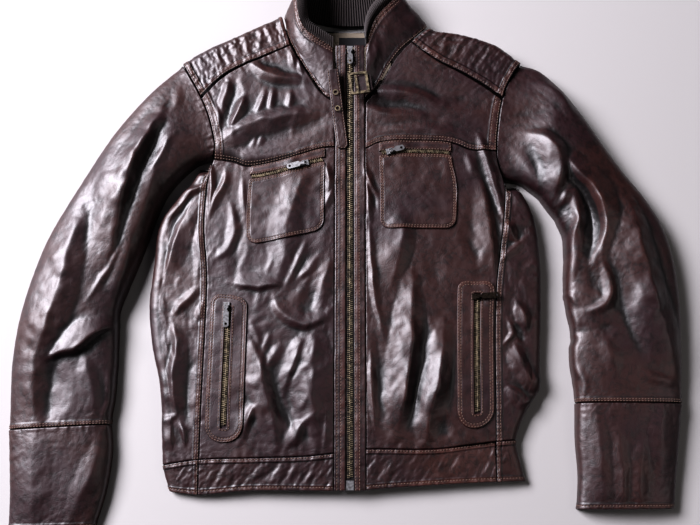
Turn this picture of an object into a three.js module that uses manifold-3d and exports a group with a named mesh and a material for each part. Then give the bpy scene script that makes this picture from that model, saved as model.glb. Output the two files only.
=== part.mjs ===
// A men's leather biker jacket, laid flat on its back with the front up and the sleeves beside it.
// Millimetres. x = 0 is the main zip, y = 0 the waist, z = 0 the surface that it lies on.
import * as THREE from "three";
import Module from "manifold-3d";

const wasm = await Module();
wasm.setup();

// ---------------------------------------------------------------- driving sizes
const WALL = 2.2; // leather and its lining, one wall
const BACK_WALL = 2; // the layers that lie on the surface
const SEAM = 0.15; // half the gap at a seam, so that two pieces lie 0.3 apart
const ARMHOLE_SEAM = 0.25; // half the gap at the armholes, which are the most curved seams
const ON_PANEL = 0.3; // between a panel and what is sewn on it
const PATCH = 1.8; // thickness of a pocket or welt
const PLACKET_OUT = 20.5; // edge of the strip beside the zip, from the zip line
const PLACKET_IN = 5.4;
const CHAIN_HALF = 4.9; // half the width of the main zip's chain and its bare tape
const HEM_Y = -303; // lower edge of the hem at the zip
const COLLAR_TOP_Y = 300; // upper end of the main zip
const SIDE_WRAP = 46; // how far a side panel runs under the jacket to the back seam
const SIDE_ROUND = 13; // half width of the rounded side edge
const SHOULDER_WRAP = 28; // how far a shoulder patch runs under the shoulder line
const SIDE_TOP = { left: 132, right: 106 }; // upper end of each side panel, below the armhole

// A section round a side edge: up to the first share it is the top, up to the second the rounded edge.
const TOP_SHARE = 0.45;
const ROUND_SHARE = 0.8;
const SECTION_PLACES = [0, 0.13, 0.29, 0.45, 0.54, 0.62, 0.7, 0.8, 1];

// Ends of the chest panel and of the shoulder patch on the armhole, as shares of it from its top.
const CHEST_FOOT = { left: 0.9, right: 0.79 };
const CHEST_HEAD = { left: 0.42, right: 0.37 };
const SHOULDER_HEAD = { left: 0.4, right: 0.35 };
const BESIDE_ZIP = 0.42; // share of a chest panel's inner edge that runs beside the zip strip

// Height of the front's outer face along the middle, from hem to collar.
const CROWN = [
  { y: -305, high: 15 },
  { y: -250, high: 20 },
  { y: -150, high: 25 },
  { y: 0, high: 28 },
  { y: 100, high: 30 },
  { y: 200, high: 34 },
  { y: 300, high: 36 },
  { y: 380, high: 34 },
];
const CROWN_FALL = 7; // how much lower the front lies at 250 from the zip
const CROWN_REACH = 250;

// Edges of the body by height: the silhouette and the seam between front and side panel.
const SIDE_EDGE = {
  left: [
    { y: 134, x: -208 },
    { y: 112, x: -216 },
    { y: 88, x: -234 },
    { y: 50, x: -260 },
    { y: 0, x: -265 },
    { y: -60, x: -268 },
    { y: -115, x: -262 },
    { y: -165, x: -250 },
    { y: -215, x: -245 },
    { y: -272, x: -241 },
    { y: -310, x: -231 },
  ],
  right: [
    { y: 112, x: 228 },
    { y: 90, x: 239 },
    { y: 60, x: 252 },
    { y: 0, x: 258 },
    { y: -60, x: 256 },
    { y: -130, x: 252 },
    { y: -175, x: 248 },
    { y: -205, x: 230 },
    { y: -240, x: 216 },
    { y: -265, x: 220 },
    { y: -300, x: 228 },
  ],
};
const FRONT_EDGE = {
  left: [
    { y: 145, x: -186 },
    { y: 120, x: -193 },
    { y: 90, x: -197 },
    { y: 40, x: -198 },
    { y: -20, x: -192 },
    { y: -100, x: -192 },
    { y: -200, x: -194 },
    { y: -310, x: -195 },
  ],
  right: [
    { y: 160, x: 202 },
    { y: 135, x: 204 },
    { y: 110, x: 211 },
    { y: 90, x: 213 },
    { y: 30, x: 206 },
    { y: -40, x: 196 },
    { y: -110, x: 192 },
    { y: -200, x: 190 },
    { y: -310, x: 188 },
  ],
};

// Seam across the chest and seam above the hem band, by x.
const CHEST_SEAM = [
  { x: -190, y: 140 },
  { x: -158, y: 135 },
  { x: -139, y: 129 },
  { x: -92, y: 138 },
  { x: -44, y: 153 },
  { x: -20, y: 156 },
  { x: 20, y: 154 },
  { x: 38, y: 162 },
  { x: 60, y: 165 },
  { x: 125, y: 165 },
  { x: 147, y: 161 },
  { x: 168, y: 153 },
  { x: 206, y: 152 },
];
const HEM_SEAM = [
  { x: -250, y: -272 },
  { x: -196, y: -264 },
  { x: -128, y: -262 },
  { x: -60, y: -260 },
  { x: -20, y: -256 },
  { x: 20, y: -251 },
  { x: 105, y: -251 },
  { x: 165, y: -244 },
  { x: 190, y: -241 },
  { x: 235, y: -238 },
];
const HEM_EDGE = [
  { x: -240, y: -303 },
  { x: -195, y: -308 },
  { x: -130, y: -303 },
  { x: 0, y: -303 },
  { x: 60, y: -299 },
  { x: 165, y: -293 },
  { x: 235, y: -291 },
];

// Seams of the upper body as runs of points, each named for where it lies.
const ARMHOLE = {
  left: [[-238, 284], [-227, 265], [-211, 236], [-199, 209], [-191, 182], [-187, 160], [-190, 146]],
  right: [[243, 285], [231, 268], [218, 243], [210, 215], [206, 190], [203, 165], [203, 140], [211, 116]],
};
const SHOULDER_SEAM = {
  left: [[-84, 308], [-120, 291], [-155, 275], [-182, 257], [-207, 229]],
  right: [[87, 313], [106, 296], [127, 280], [150, 267], [172, 253], [193, 238], [212, 222]],
};
const SHOULDER_EDGE = {
  left: [[-98, 358], [-144, 336], [-173, 322], [-197, 311], [-218, 299], [-238, 284]],
  right: [[116, 337], [135, 333], [158, 330], [187, 322], [215, 310], [243, 285]],
};
const NECK_SEAM = {
  left: [[-32, 223], [-40, 235], [-54, 256], [-68, 279], [-84, 308]],
  right: [[27, 226], [39, 243], [56, 274], [71, 297], [87, 313]],
};
const NECK_END = {
  left: [[-84, 308], [-91, 333], [-98, 358]],
  right: [[87, 313], [101, 326], [116, 337]],
};

// The back panel's neck edge, from right to left, and what shows inside it.
const BACK_NECK = [[88, 345], [56, 347], [0, 343], [-50, 347], [-80, 352]];
const LINING_OUTLINE = [[-58, 268], [58, 268], [60, 330], [52, 342], [-52, 342], [-60, 330]];
const LINING_WALL = 1.7;
const LABEL_OUTLINE = [[-16, 320], [26, 320], [26, 334], [-16, 334]];
const LABEL_WALL = 0.9;

// The collar from the left front end round the back to the right one: where it is sewn on, and its top.
const COLLAR = [
  { seamX: -21.5, seamY: 226, seamZ: 38, topX: -24, topY: 301, topZ: 48 },
  { seamX: -34, seamY: 229, seamZ: 38, topX: -37, topY: 308, topZ: 52 },
  { seamX: -51, seamY: 254, seamZ: 38, topX: -50, topY: 315, topZ: 56 },
  { seamX: -68, seamY: 281, seamZ: 38, topX: -61, topY: 323, topZ: 58 },
  { seamX: -83, seamY: 311, seamZ: 36, topX: -68, topY: 336, topZ: 60 },
  { seamX: -90, seamY: 336, seamZ: 28, topX: -71, topY: 354, topZ: 60 },
  { seamX: -94, seamY: 362, seamZ: 14, topX: -70, topY: 376, topZ: 56 },
  { seamX: -76, seamY: 367, seamZ: 4, topX: -58, topY: 396, topZ: 42 },
  { seamX: -44, seamY: 356, seamZ: 2, topX: -36, topY: 406, topZ: 28 },
  { seamX: 0, seamY: 350, seamZ: 2, topX: -2, topY: 410, topZ: 22 },
  { seamX: 46, seamY: 354, seamZ: 2, topX: 34, topY: 408, topZ: 26 },
  { seamX: 84, seamY: 361, seamZ: 4, topX: 60, topY: 399, topZ: 36 },
  { seamX: 110, seamY: 346, seamZ: 18, topX: 62, topY: 382, topZ: 44 },
  { seamX: 96, seamY: 324, seamZ: 32, topX: 50, topY: 366, topZ: 47 },
  { seamX: 72, seamY: 300, seamZ: 37, topX: 37, topY: 350, topZ: 49 },
  { seamX: 54, seamY: 274, seamZ: 38, topX: 28, topY: 332, topZ: 50 },
  { seamX: 37, seamY: 243, seamZ: 38, topX: 23, topY: 314, topZ: 50 },
  { seamX: 21.5, seamY: 227, seamZ: 38, topX: 22, topY: 301, topZ: 48 },
];
const COLLAR_BULGE = 3; // the leather's outward curve between seam and top
const KNIT_WALL = 2.4;
const KNIT_ROLL = 6.5; // radius of the ribbed roll along the collar's top
const COLLAR_STATIONS = 22;
const COLLAR_WALL = 1.8;
const RIBS_PER_STATION = 2;
const KNIT_SLACK = 1.6; // how far the knit stands off the leather where the collar turns
const RIB_DEPTH = 0.7;

// Degrees round a sleeve's arched top, from its outer edge to its inner one.
const ARCH_ANGLES = [0, 7, 17, 32, 50, 66, 82, 98, 114, 130, 148, 163, 173, 180];
const ARCH_FULLNESS = 0.42; // lower is a flatter top with rounder edges
const SLEEVE_STATIONS = 21;
const CUFF_STATIONS = 7;
const CUFF_UNDER = [0.94, 0.75, 0.5, 0.25, 0.06]; // places across a cuff's underside

// Sleeves in sections: outer edge, inner edge and height, from the armhole to the cuff's edge.
const SLEEVE = {
  left: [
    { outX: -238, outY: 284, inX: -190, inY: 146, high: 33 },
    { outX: -262, outY: 262, inX: -213, inY: 138, high: 38 },
    { outX: -292, outY: 229, inX: -235, inY: 118, high: 40 },
    { outX: -323, outY: 188, inX: -252, inY: 96, high: 40 },
    { outX: -354, outY: 137, inX: -266, inY: 66, high: 38 },
    { outX: -380, outY: 90, inX: -276, inY: 33, high: 38 },
    { outX: -404, outY: 42, inX: -286, inY: 0, high: 38 },
    { outX: -424, outY: -12, inX: -299, inY: -35, high: 36 },
    { outX: -438, outY: -72, inX: -310, inY: -70, high: 34 },
    { outX: -444, outY: -120, inX: -309, inY: -115, high: 30 },
    { outX: -445, outY: -165, inX: -309, inY: -160, high: 28 },
    { outX: -443, outY: -226, inX: -313, inY: -219, high: 26 },
  ],
  right: [
    { outX: 243, outY: 285, inX: 211, inY: 116, high: 33 },
    { outX: 270, outY: 276, inX: 238, inY: 110, high: 38 },
    { outX: 297, outY: 246, inX: 260, inY: 92, high: 42 },
    { outX: 324, outY: 210, inX: 273, inY: 73, high: 42 },
    { outX: 350, outY: 168, inX: 284, inY: 54, high: 40 },
    { outX: 376, outY: 127, inX: 292, inY: 35, high: 38 },
    { outX: 404, outY: 88, inX: 295, inY: 12, high: 38 },
    { outX: 426, outY: 48, inX: 292, inY: -22, high: 38 },
    { outX: 438, outY: 2, inX: 290, inY: -52, high: 36 },
    { outX: 442, outY: -55, inX: 296, inY: -94, high: 34 },
    { outX: 440, outY: -115, inX: 293, inY: -127, high: 32 },
    { outX: 434, outY: -192, inX: 297, inY: -191, high: 28 },
  ],
};
const CUFF = {
  left: [
    { outX: -443.5, outY: -226.6, inX: -312.5, inY: -219.6, high: 28 },
    { outX: -440, outY: -262, inX: -309, inY: -256, high: 26 },
    { outX: -436, outY: -305, inX: -314, inY: -304, high: 24 },
    { outX: -434, outY: -352, inX: -326, inY: -349, high: 21 },
  ],
  right: [
    { outX: 434.5, outY: -192.6, inX: 296.5, inY: -191.6, high: 30 },
    { outX: 427, outY: -240, inX: 294, inY: -238, high: 27 },
    { outX: 420, outY: -285, inX: 295, inY: -284, high: 24 },
    { outX: 414, outY: -325, inX: 291, inY: -326, high: 21 },
  ],
};

// Folds: a ridge, or where high is negative a valley, from one place to another,
// its middle bowed sideways, its shoulders as far out as wide.
const BODY_FOLDS = [
  { at: "left of the zip", x0: -36, y0: 150, x1: -37, y1: -230, bow: 0, wide: 12, high: -4 },
  { at: "under the left pocket", x0: -68, y0: 111, x1: -128, y1: -40, bow: -8, wide: 15, high: 6 },
  { at: "left waist", x0: -43, y0: 16, x1: -92, y1: -34, bow: 0, wide: 9, high: 5 },
  { at: "left waist by the zip", x0: -27, y0: 3, x1: -56, y1: -68, bow: 0, wide: 9, high: 4 },
  { at: "left belly crescent", x0: -104, y0: -52, x1: -26, y1: -54, bow: 34, wide: 10, high: 5 },
  { at: "left skirt ridge down", x0: -130, y0: -112, x1: -78, y1: -240, bow: 6, wide: 11, high: 6 },
  { at: "left skirt valley", x0: -98, y0: -160, x1: -62, y1: -232, bow: 0, wide: 10, high: -5 },
  { at: "left skirt ridge across", x0: -38, y0: -92, x1: -88, y1: -168, bow: 0, wide: 10, high: 6 },
  { at: "left skirt short ridge", x0: -42, y0: -165, x1: -78, y1: -202, bow: 0, wide: 9, high: 4 },
  { at: "beside the left welt", x0: -99, y0: -106, x1: -140, y1: -235, bow: 0, wide: 10, high: 4 },
  { at: "above the left welt", x0: -166, y0: -34, x1: -94, y1: -34, bow: 0, wide: 9, high: -4 },
  { at: "left ribs", x0: -180, y0: 100, x1: -178, y1: -16, bow: 4, wide: 9, high: 4 },
  { at: "left ribs by the pocket", x0: -152, y0: 92, x1: -146, y1: -4, bow: 3, wide: 9, high: 4 },
  { at: "left collarbone", x0: -135, y0: 272, x1: -52, y1: 246, bow: 4, wide: 11, high: 5 },
  { at: "left chest sweep", x0: -176, y0: 158, x1: -42, y1: 228, bow: -12, wide: 13, high: 6 },
  { at: "left chest hollow", x0: -150, y0: 152, x1: -34, y1: 206, bow: -4, wide: 12, high: -6 },
  { at: "left chest pucker", x0: -174, y0: 240, x1: -164, y1: 186, bow: 0, wide: 8, high: 4 },
  { at: "left chest pucker 2", x0: -126, y0: 244, x1: -120, y1: 196, bow: 0, wide: 8, high: 4 },
  { at: "right collarbone hollow", x0: 42, y0: 257, x1: 195, y1: 222, bow: -6, wide: 12, high: -6 },
  { at: "right chest ridge", x0: 32, y0: 236, x1: 140, y1: 216, bow: -5, wide: 11, high: 6 },
  { at: "right chest under ridge", x0: 30, y0: 206, x1: 110, y1: 196, bow: 0, wide: 11, high: -4 },
  { at: "right of the zip", x0: 26, y0: 140, x1: 42, y1: -112, bow: 4, wide: 10, high: 4 },
  { at: "right waist crease", x0: 24, y0: 108, x1: 84, y1: 0, bow: -8, wide: 9, high: -4 },
  { at: "right skirt ridge", x0: 57, y0: -46, x1: 49, y1: -232, bow: -8, wide: 11, high: 6 },
  { at: "right skirt valley", x0: 100, y0: -84, x1: 64, y1: -232, bow: -8, wide: 11, high: -5 },
  { at: "right skirt ridge 2", x0: 110, y0: -120, x1: 88, y1: -236, bow: -5, wide: 10, high: 5 },
  { at: "right armhole drop", x0: 180, y0: 128, x1: 188, y1: -22, bow: -6, wide: 9, high: 5 },
  { at: "right ribs", x0: 160, y0: 140, x1: 166, y1: 30, bow: 0, wide: 9, high: 3 },
  { at: "left side ridge", x0: -212, y0: 92, x1: -248, y1: -60, bow: -10, wide: 8, high: 6 },
  { at: "left side low fold", x0: -240, y0: -205, x1: -206, y1: -246, bow: 5, wide: 8, high: 4 },
  { at: "right side hollow", x0: 246, y0: 60, x1: 206, y1: 4, bow: 0, wide: 8, high: -5 },
  { at: "right side ridge", x0: 214, y0: -66, x1: 240, y1: -120, bow: 0, wide: 9, high: 4 },
];
const SLEEVE_FOLDS = [
  { at: "left cap valley", x0: -247, y0: 248, x1: -324, y1: 142, bow: 6, wide: 10, high: -7 },
  { at: "left armhole valley", x0: -250, y0: 204, x1: -282, y1: 116, bow: -4, wide: 9, high: -6 },
  { at: "left upper ridge", x0: -290, y0: 178, x1: -328, y1: 94, bow: 4, wide: 11, high: 6 },
  { at: "left arm valley", x0: -358, y0: 46, x1: -396, y1: -88, bow: 6, wide: 10, high: -6 },
  { at: "left arm facet", x0: -290, y0: 44, x1: -326, y1: -46, bow: 0, wide: 14, high: 4 },
  { at: "left elbow overlap", x0: -306, y0: -66, x1: -412, y1: -118, bow: -16, wide: 10, high: 9 },
  { at: "left elbow crease", x0: -300, y0: -88, x1: -410, y1: -138, bow: -16, wide: 9, high: -9 },
  { at: "left forearm ridge", x0: -404, y0: -150, x1: -400, y1: -214, bow: 0, wide: 12, high: 3 },
  { at: "left forearm fold", x0: -334, y0: -150, x1: -338, y1: -212, bow: 0, wide: 10, high: -3 },
  { at: "left cuff ridge", x0: -436, y0: -262, x1: -388, y1: -244, bow: 0, wide: 8, high: 3 },
  { at: "left cuff facet", x0: -322, y0: -246, x1: -348, y1: -330, bow: 0, wide: 10, high: -3 },
  { at: "right cap valley", x0: 214, y0: 208, x1: 292, y1: 186, bow: -4, wide: 12, high: -6 },
  { at: "right cap ridge", x0: 255, y0: 168, x1: 284, y1: 108, bow: 0, wide: 9, high: 5 },
  { at: "right elbow ridge", x0: 284, y0: 144, x1: 346, y1: 44, bow: -12, wide: 9, high: 9 },
  { at: "right elbow hollow", x0: 312, y0: 102, x1: 328, y1: 0, bow: -4, wide: 11, high: -12 },
  { at: "right inner ridge", x0: 309, y0: 84, x1: 302, y1: 36, bow: 0, wide: 8, high: 5 },
  { at: "right elbow curl", x0: 342, y0: 6, x1: 308, y1: -62, bow: -20, wide: 10, high: 6 },
  { at: "right forearm ridge", x0: 368, y0: 44, x1: 414, y1: -150, bow: -6, wide: 16, high: 8 },
  { at: "right forearm valley", x0: 348, y0: 2, x1: 386, y1: -138, bow: -4, wide: 10, high: -8 },
  { at: "right forearm crease", x0: 296, y0: -98, x1: 372, y1: -94, bow: 0, wide: 9, high: -6 },
  { at: "right cuff ridge", x0: 346, y0: -268, x1: 344, y1: -316, bow: 0, wide: 8, high: 4 },
  { at: "right cuff ridge 2", x0: 368, y0: -270, x1: 364, y1: -316, bow: 0, wide: 8, high: 4 },
];

// Pockets in the front panel's own grid: columns from the strip beside the zip to the side seam,
// rows from the chest seam to the hem seam.
const FRONT_GRID = {
  left: {
    columns: [0, 0.08, 0.18, 0.28, 0.38, 0.48, 0.58, 0.675, 0.735, 0.8, 0.845, 0.905, 0.965, 1],
    rows: [0, 0.034, 0.048, 0.095, 0.142, 0.19, 0.238, 0.283, 0.33, 0.375, 0.42, 0.464, 0.505,
      0.55, 0.6, 0.65, 0.7, 0.75, 0.8, 0.85, 0.905, 0.95, 1],
    pocket: { from: 0.08, to: 0.675, slit: 0.034, bag: 0.048, bottom: 0.283 },
    welt: {
      from: 0.675, zipFrom: 0.8, zipTo: 0.845, to: 0.965,
      top: 0.464, slot: 0.505, end: 0.905, bottom: 0.95,
    },
  },
  right: {
    columns: [0, 0.105, 0.195, 0.285, 0.375, 0.465, 0.56, 0.655, 0.7, 0.77, 0.832, 0.878, 0.93, 0.985, 1],
    rows: [0, 0.033, 0.045, 0.09, 0.142, 0.194, 0.248, 0.3, 0.34, 0.38, 0.42, 0.463, 0.505,
      0.55, 0.6, 0.65, 0.7, 0.75, 0.8, 0.85, 0.905, 0.95, 1],
    pocket: { from: 0.105, to: 0.655, slit: 0.033, bag: 0.045, bottom: 0.3 },
    welt: {
      from: 0.7, zipFrom: 0.832, zipTo: 0.878, to: 0.985,
      top: 0.463, slot: 0.505, end: 0.905, bottom: 0.95,
    },
  },
};

const RIDGES_PER_HEM = 15; // puckers across each half of the gathered hem band
const PUCKER = 1.3;
const HEM_MID = 100; // where the back hem's edge has its points beside the middle
const SHOULDER_PUCKERS = 9;

// Zip hardware: slider body and pull tab.
const PULL_AXIS_Y = -1; // where the pull's hinge crosses the slider, from its middle
const SLIDER = { long: 11, wide: 8.4, tail: 0.68, thick: 2.6, ear: 1.2, earLong: 4.4, gap: 3.4, axisUp: 2.2 };
const PULL = {
  wide: 7.6, neck: 2.8, neckLong: 4.5, flare: 2.5, corner: 2, thick: 1.6, hole: 1.8, holeIn: 4.2,
};
const CHAIN_FROM = 14; // the main chain starts above its box, and ends just below the strips' upper end
const CHAIN_TO = 6;
const CHAIN_TOP = 0.6; // the main chain above the panels' outer face
const POCKET_CHAIN = 1.1; // thickness of a pocket's zip
const SLIDERS = [
  { name: "zip", x: 0, y: 292, lift: 0.6, turn: 0, pull: 20, droop: 10 },
  { name: "chest_zip_left", x: -62, y: 131.5, lift: 1.3, turn: -76, pull: 24, droop: 4 },
  { name: "chest_zip_right", x: 55, y: 148.5, lift: 1.2, turn: 106, pull: 19, droop: 5 },
  { name: "hand_zip_left", x: -163.5, y: -66, lift: 1.3, turn: 0, pull: 27, droop: 5 },
  { name: "hand_zip_right", x: 167.5, y: -53, lift: 1.4, turn: 94, pull: 30, droop: 4 },
];

const STRAP = { topX: -24, topY: 262, endX: -10, endY: 152, wide: 16.5, thick: 2.6, over: 1.8, rise: 6 };
const STRAP_PLACES = [0, 0.15, 0.3, 0.45, 0.6, 0.75, 0.88, 0.94, 0.98, 1];
const EYELETS = [0.29, 0.49]; // along the strap
const EYELET = { r: 4, wall: 1.4, thick: 1, over: 1.2 };
const BUCKLE = { x: 12, y: 243, wide: 27, long: 32, bar: 3.4, thick: 3, turn: 8, over: 10.4 };
const PRONG = { x: -3, wide: 3, thick: 2.2, up: 1.5 };
const BUCKLE_TAB = { x: 9.5, wide: 17, thick: 2.4, up: -1.6 };

const COLOURS = {
  leather: { color: 0x33221e, roughness: 0.42, metalness: 0 },
  knit: { color: 0x2b2523, roughness: 0.95, metalness: 0 },
  lining: { color: 0x9c8a72, roughness: 0.85, metalness: 0 },
  label: { color: 0x17151a, roughness: 0.8, metalness: 0 },
  brass: { color: 0x6b5636, roughness: 0.4, metalness: 1 },
  nickel: { color: 0x9a9a98, roughness: 0.3, metalness: 1 },
  bronze: { color: 0x3a322c, roughness: 0.4, metalness: 1 },
};

// ---------------------------------------------------------------- helpers
const radians = (degrees) => (degrees * Math.PI) / 180;
const clamp = (v, low, high) => Math.min(high, Math.max(low, v));
const mix = (a, b, t) => a + (b - a) * t;
const ease = (v) => {
  const t = clamp(v, 0, 1);
  return t * t * (3 - 2 * t);
};
const fromTo = (a, b, t) => a.map((v, i) => mix(v, b[i], t));
const spread = (count) => Array.from({ length: count }, (_, i) => i / (count - 1));
const SIDES = [["left", -1], ["right", 1]];

// Smooth value of one column of a table at a place along another column.
function table(rows, by, column, at) {
  const up = rows[rows.length - 1][by] > rows[0][by];
  const order = up ? rows : [...rows].reverse();
  let i = 0;
  while (i < order.length - 2 && at > order[i + 1][by]) i++;
  const [a, b] = [order[i], order[i + 1]];
  const before = order[Math.max(0, i - 1)];
  const after = order[Math.min(order.length - 1, i + 2)];
  const span = b[by] - a[by];
  const t = clamp((at - a[by]) / span, 0, 1);
  const slopeA = (b[column] - before[column]) / (b[by] - before[by]);
  const slopeB = (after[column] - a[column]) / (after[by] - a[by]);
  const t2 = t * t;
  const t3 = t2 * t;
  return (2 * t3 - 3 * t2 + 1) * a[column] + (t3 - 2 * t2 + t) * span * slopeA
    + (3 * t2 - 2 * t3) * b[column] + (t3 - t2) * span * slopeB;
}

// Smooth row of a table by its row number.
function rowAt(rows, place) {
  const numbered = rows.map((row, i) => ({ ...row, place: i }));
  const out = {};
  for (const key of Object.keys(rows[0])) out[key] = table(numbered, "place", key, place);
  return out;
}

// A run of plan points as a curve from 0 to 1.
function run(points) {
  const curve = new THREE.SplineCurve(points.map((p) => new THREE.Vector2(...p)));
  return (t) => curve.getPointAt(clamp(t, 0, 1)).toArray();
}

// Four-sided patch between plan curves: u along bottom and top, v along left and right.
function patch(bottom, top, left, right, u, v) {
  const [b, t, l, r] = [bottom(u), top(u), left(v), right(v)];
  const [b0, b1, t0, t1] = [bottom(0), bottom(1), top(0), top(1)];
  return [0, 1].map((k) => (1 - v) * b[k] + v * t[k] + (1 - u) * l[k] + u * r[k]
    - (1 - u) * (1 - v) * b0[k] - u * (1 - v) * b1[k] - (1 - u) * v * t0[k] - u * v * t1[k]);
}

// Sum of the folds at a place.
function foldHeight(folds, x, y) {
  let high = 0;
  for (const f of folds) {
    const dx = f.x1 - f.x0;
    const dy = f.y1 - f.y0;
    const long = Math.hypot(dx, dy);
    const along = ((x - f.x0) * dx + (y - f.y0) * dy) / (long * long);
    const on = clamp(along, 0, 1);
    const off = ((x - f.x0) * dy - (y - f.y0) * dx) / long - f.bow * 4 * on * (1 - on);
    const past = (along - on) * long;
    const fade = ease(Math.min(on, 1 - on) * 3 + 0.25);
    high += f.high * fade * Math.exp(-((off / f.wide) ** 2) - (past / f.wide) ** 2);
  }
  return high;
}

// Outer face of the front at a place.
function frontHeight(x, y) {
  const crown = table(CROWN, "y", "high", clamp(y, CROWN[0].y, CROWN[CROWN.length - 1].y));
  return crown - CROWN_FALL * (x / CROWN_REACH) ** 2 + foldHeight(BODY_FOLDS, x, y);
}

// A closed wall from two matching sets of points and the triangles of one face.
function wall(outer, inner, triangles) {
  const count = outer.length;
  const faces = [];
  const edges = new Map();
  for (const [a, b, c] of triangles) {
    faces.push([a, b, c], [a + count, c + count, b + count]);
    for (const [p, q] of [[a, b], [b, c], [c, a]]) {
      if (edges.has(`${q},${p}`)) edges.delete(`${q},${p}`);
      else edges.set(`${p},${q}`, [p, q]);
    }
  }
  for (const [p, q] of edges.values()) faces.push([q, p, p + count], [q, p + count, q + count]);
  const points = [...outer, ...inner];
  let volume = 0;
  for (const [a, b, c] of faces) {
    const [A, B, C] = [points[a], points[b], points[c]];
    volume += A[0] * (B[1] * C[2] - B[2] * C[1]) + A[1] * (B[2] * C[0] - B[0] * C[2])
      + A[2] * (B[0] * C[1] - B[1] * C[0]);
  }
  const turned = volume < 0 ? faces.map(([a, b, c]) => [a, c, b]) : faces;
  const used = new Map();
  const index = [];
  const flat = [];
  for (const face of turned) {
    for (const v of face) {
      if (!used.has(v)) {
        used.set(v, used.size);
        flat.push(...points[v]);
      }
      index.push(used.get(v));
    }
  }
  const geometry = new THREE.BufferGeometry();
  geometry.setAttribute("position", new THREE.Float32BufferAttribute(flat, 3));
  geometry.setIndex(index);
  geometry.computeVertexNormals();
  return geometry;
}

// Triangles of a grid of rows, where keep says which cells there are: false, true or the corner to cut.
function cells(rows, columns, closed = false, keep = () => true) {
  const out = [];
  const across = closed ? columns : columns - 1;
  for (let r = 0; r < rows - 1; r++) {
    for (let c = 0; c < across; c++) {
      const which = keep(r, c);
      if (!which) continue;
      const a = r * columns + c;
      const b = r * columns + ((c + 1) % columns);
      const [d, e] = [a + columns, b + columns];
      if (which === "a") out.push([b, e, d]);
      else if (which === "e") out.push([a, b, d]);
      else if (which === "b") out.push([a, e, d]);
      else if (which === "d") out.push([a, b, e]);
      else if ((r + c) % 2) out.push([a, b, e], [a, e, d]);
      else out.push([a, b, d], [b, e, d]);
    }
  }
  return out;
}

const group = new THREE.Group();

function add(name, geometry, look) {
  const mesh = new THREE.Mesh(geometry, new THREE.MeshStandardMaterial(COLOURS[look]));
  mesh.name = name;
  group.add(mesh);
  return mesh;
}

// A wall of a grid: place(u, v) gives its outer point and the inner one.
function addGrid(name, look, us, vs, place, closed = false) {
  const outer = [];
  const inner = [];
  for (const v of vs) {
    for (const u of us) {
      const [out, under] = place(u, v);
      outer.push(out);
      inner.push(under);
    }
  }
  add(name, wall(outer, inner, cells(vs.length, us.length, closed)), look);
}

const outlineShape = (outline) => new THREE.Shape(outline.map((p) => new THREE.Vector2(p[0], p[1])));

// A flat piece between two levels from its plan outline.
function addFlat(name, look, outline, low, high) {
  const shape = outlineShape(outline);
  const geometry = new THREE.ExtrudeGeometry(shape, { depth: high - low, bevelEnabled: false, steps: 1 });
  geometry.translate(0, 0, low);
  add(name, geometry, look);
}

// ---------------------------------------------------------------- front panels, pockets and welts
const chestSeamY = (x) => table(CHEST_SEAM, "x", "y", x);
const hemSeamY = (x) => table(HEM_SEAM, "x", "y", x);
const hemEdgeY = (x) => table(HEM_EDGE, "x", "y", x);
const frontEdgeX = (side, y) => table(FRONT_EDGE[side], "y", "x", y);
const sideEdgeX = (side, y) => table(SIDE_EDGE[side], "y", "x", y);

// Plan place in a front panel's grid: a from the zip strip to the side seam, b from chest to hem.
function frontPlace(side, sign, a, b) {
  const near = sign * (PLACKET_OUT + 2 * SEAM);
  const top = mix(near, frontEdgeX(side, 140), a);
  const foot = mix(near, frontEdgeX(side, -255), a);
  const y = mix(chestSeamY(top) - SEAM, hemSeamY(foot) + SEAM, b);
  return [mix(near, frontEdgeX(side, y) - sign * SEAM, a), y];
}

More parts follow.
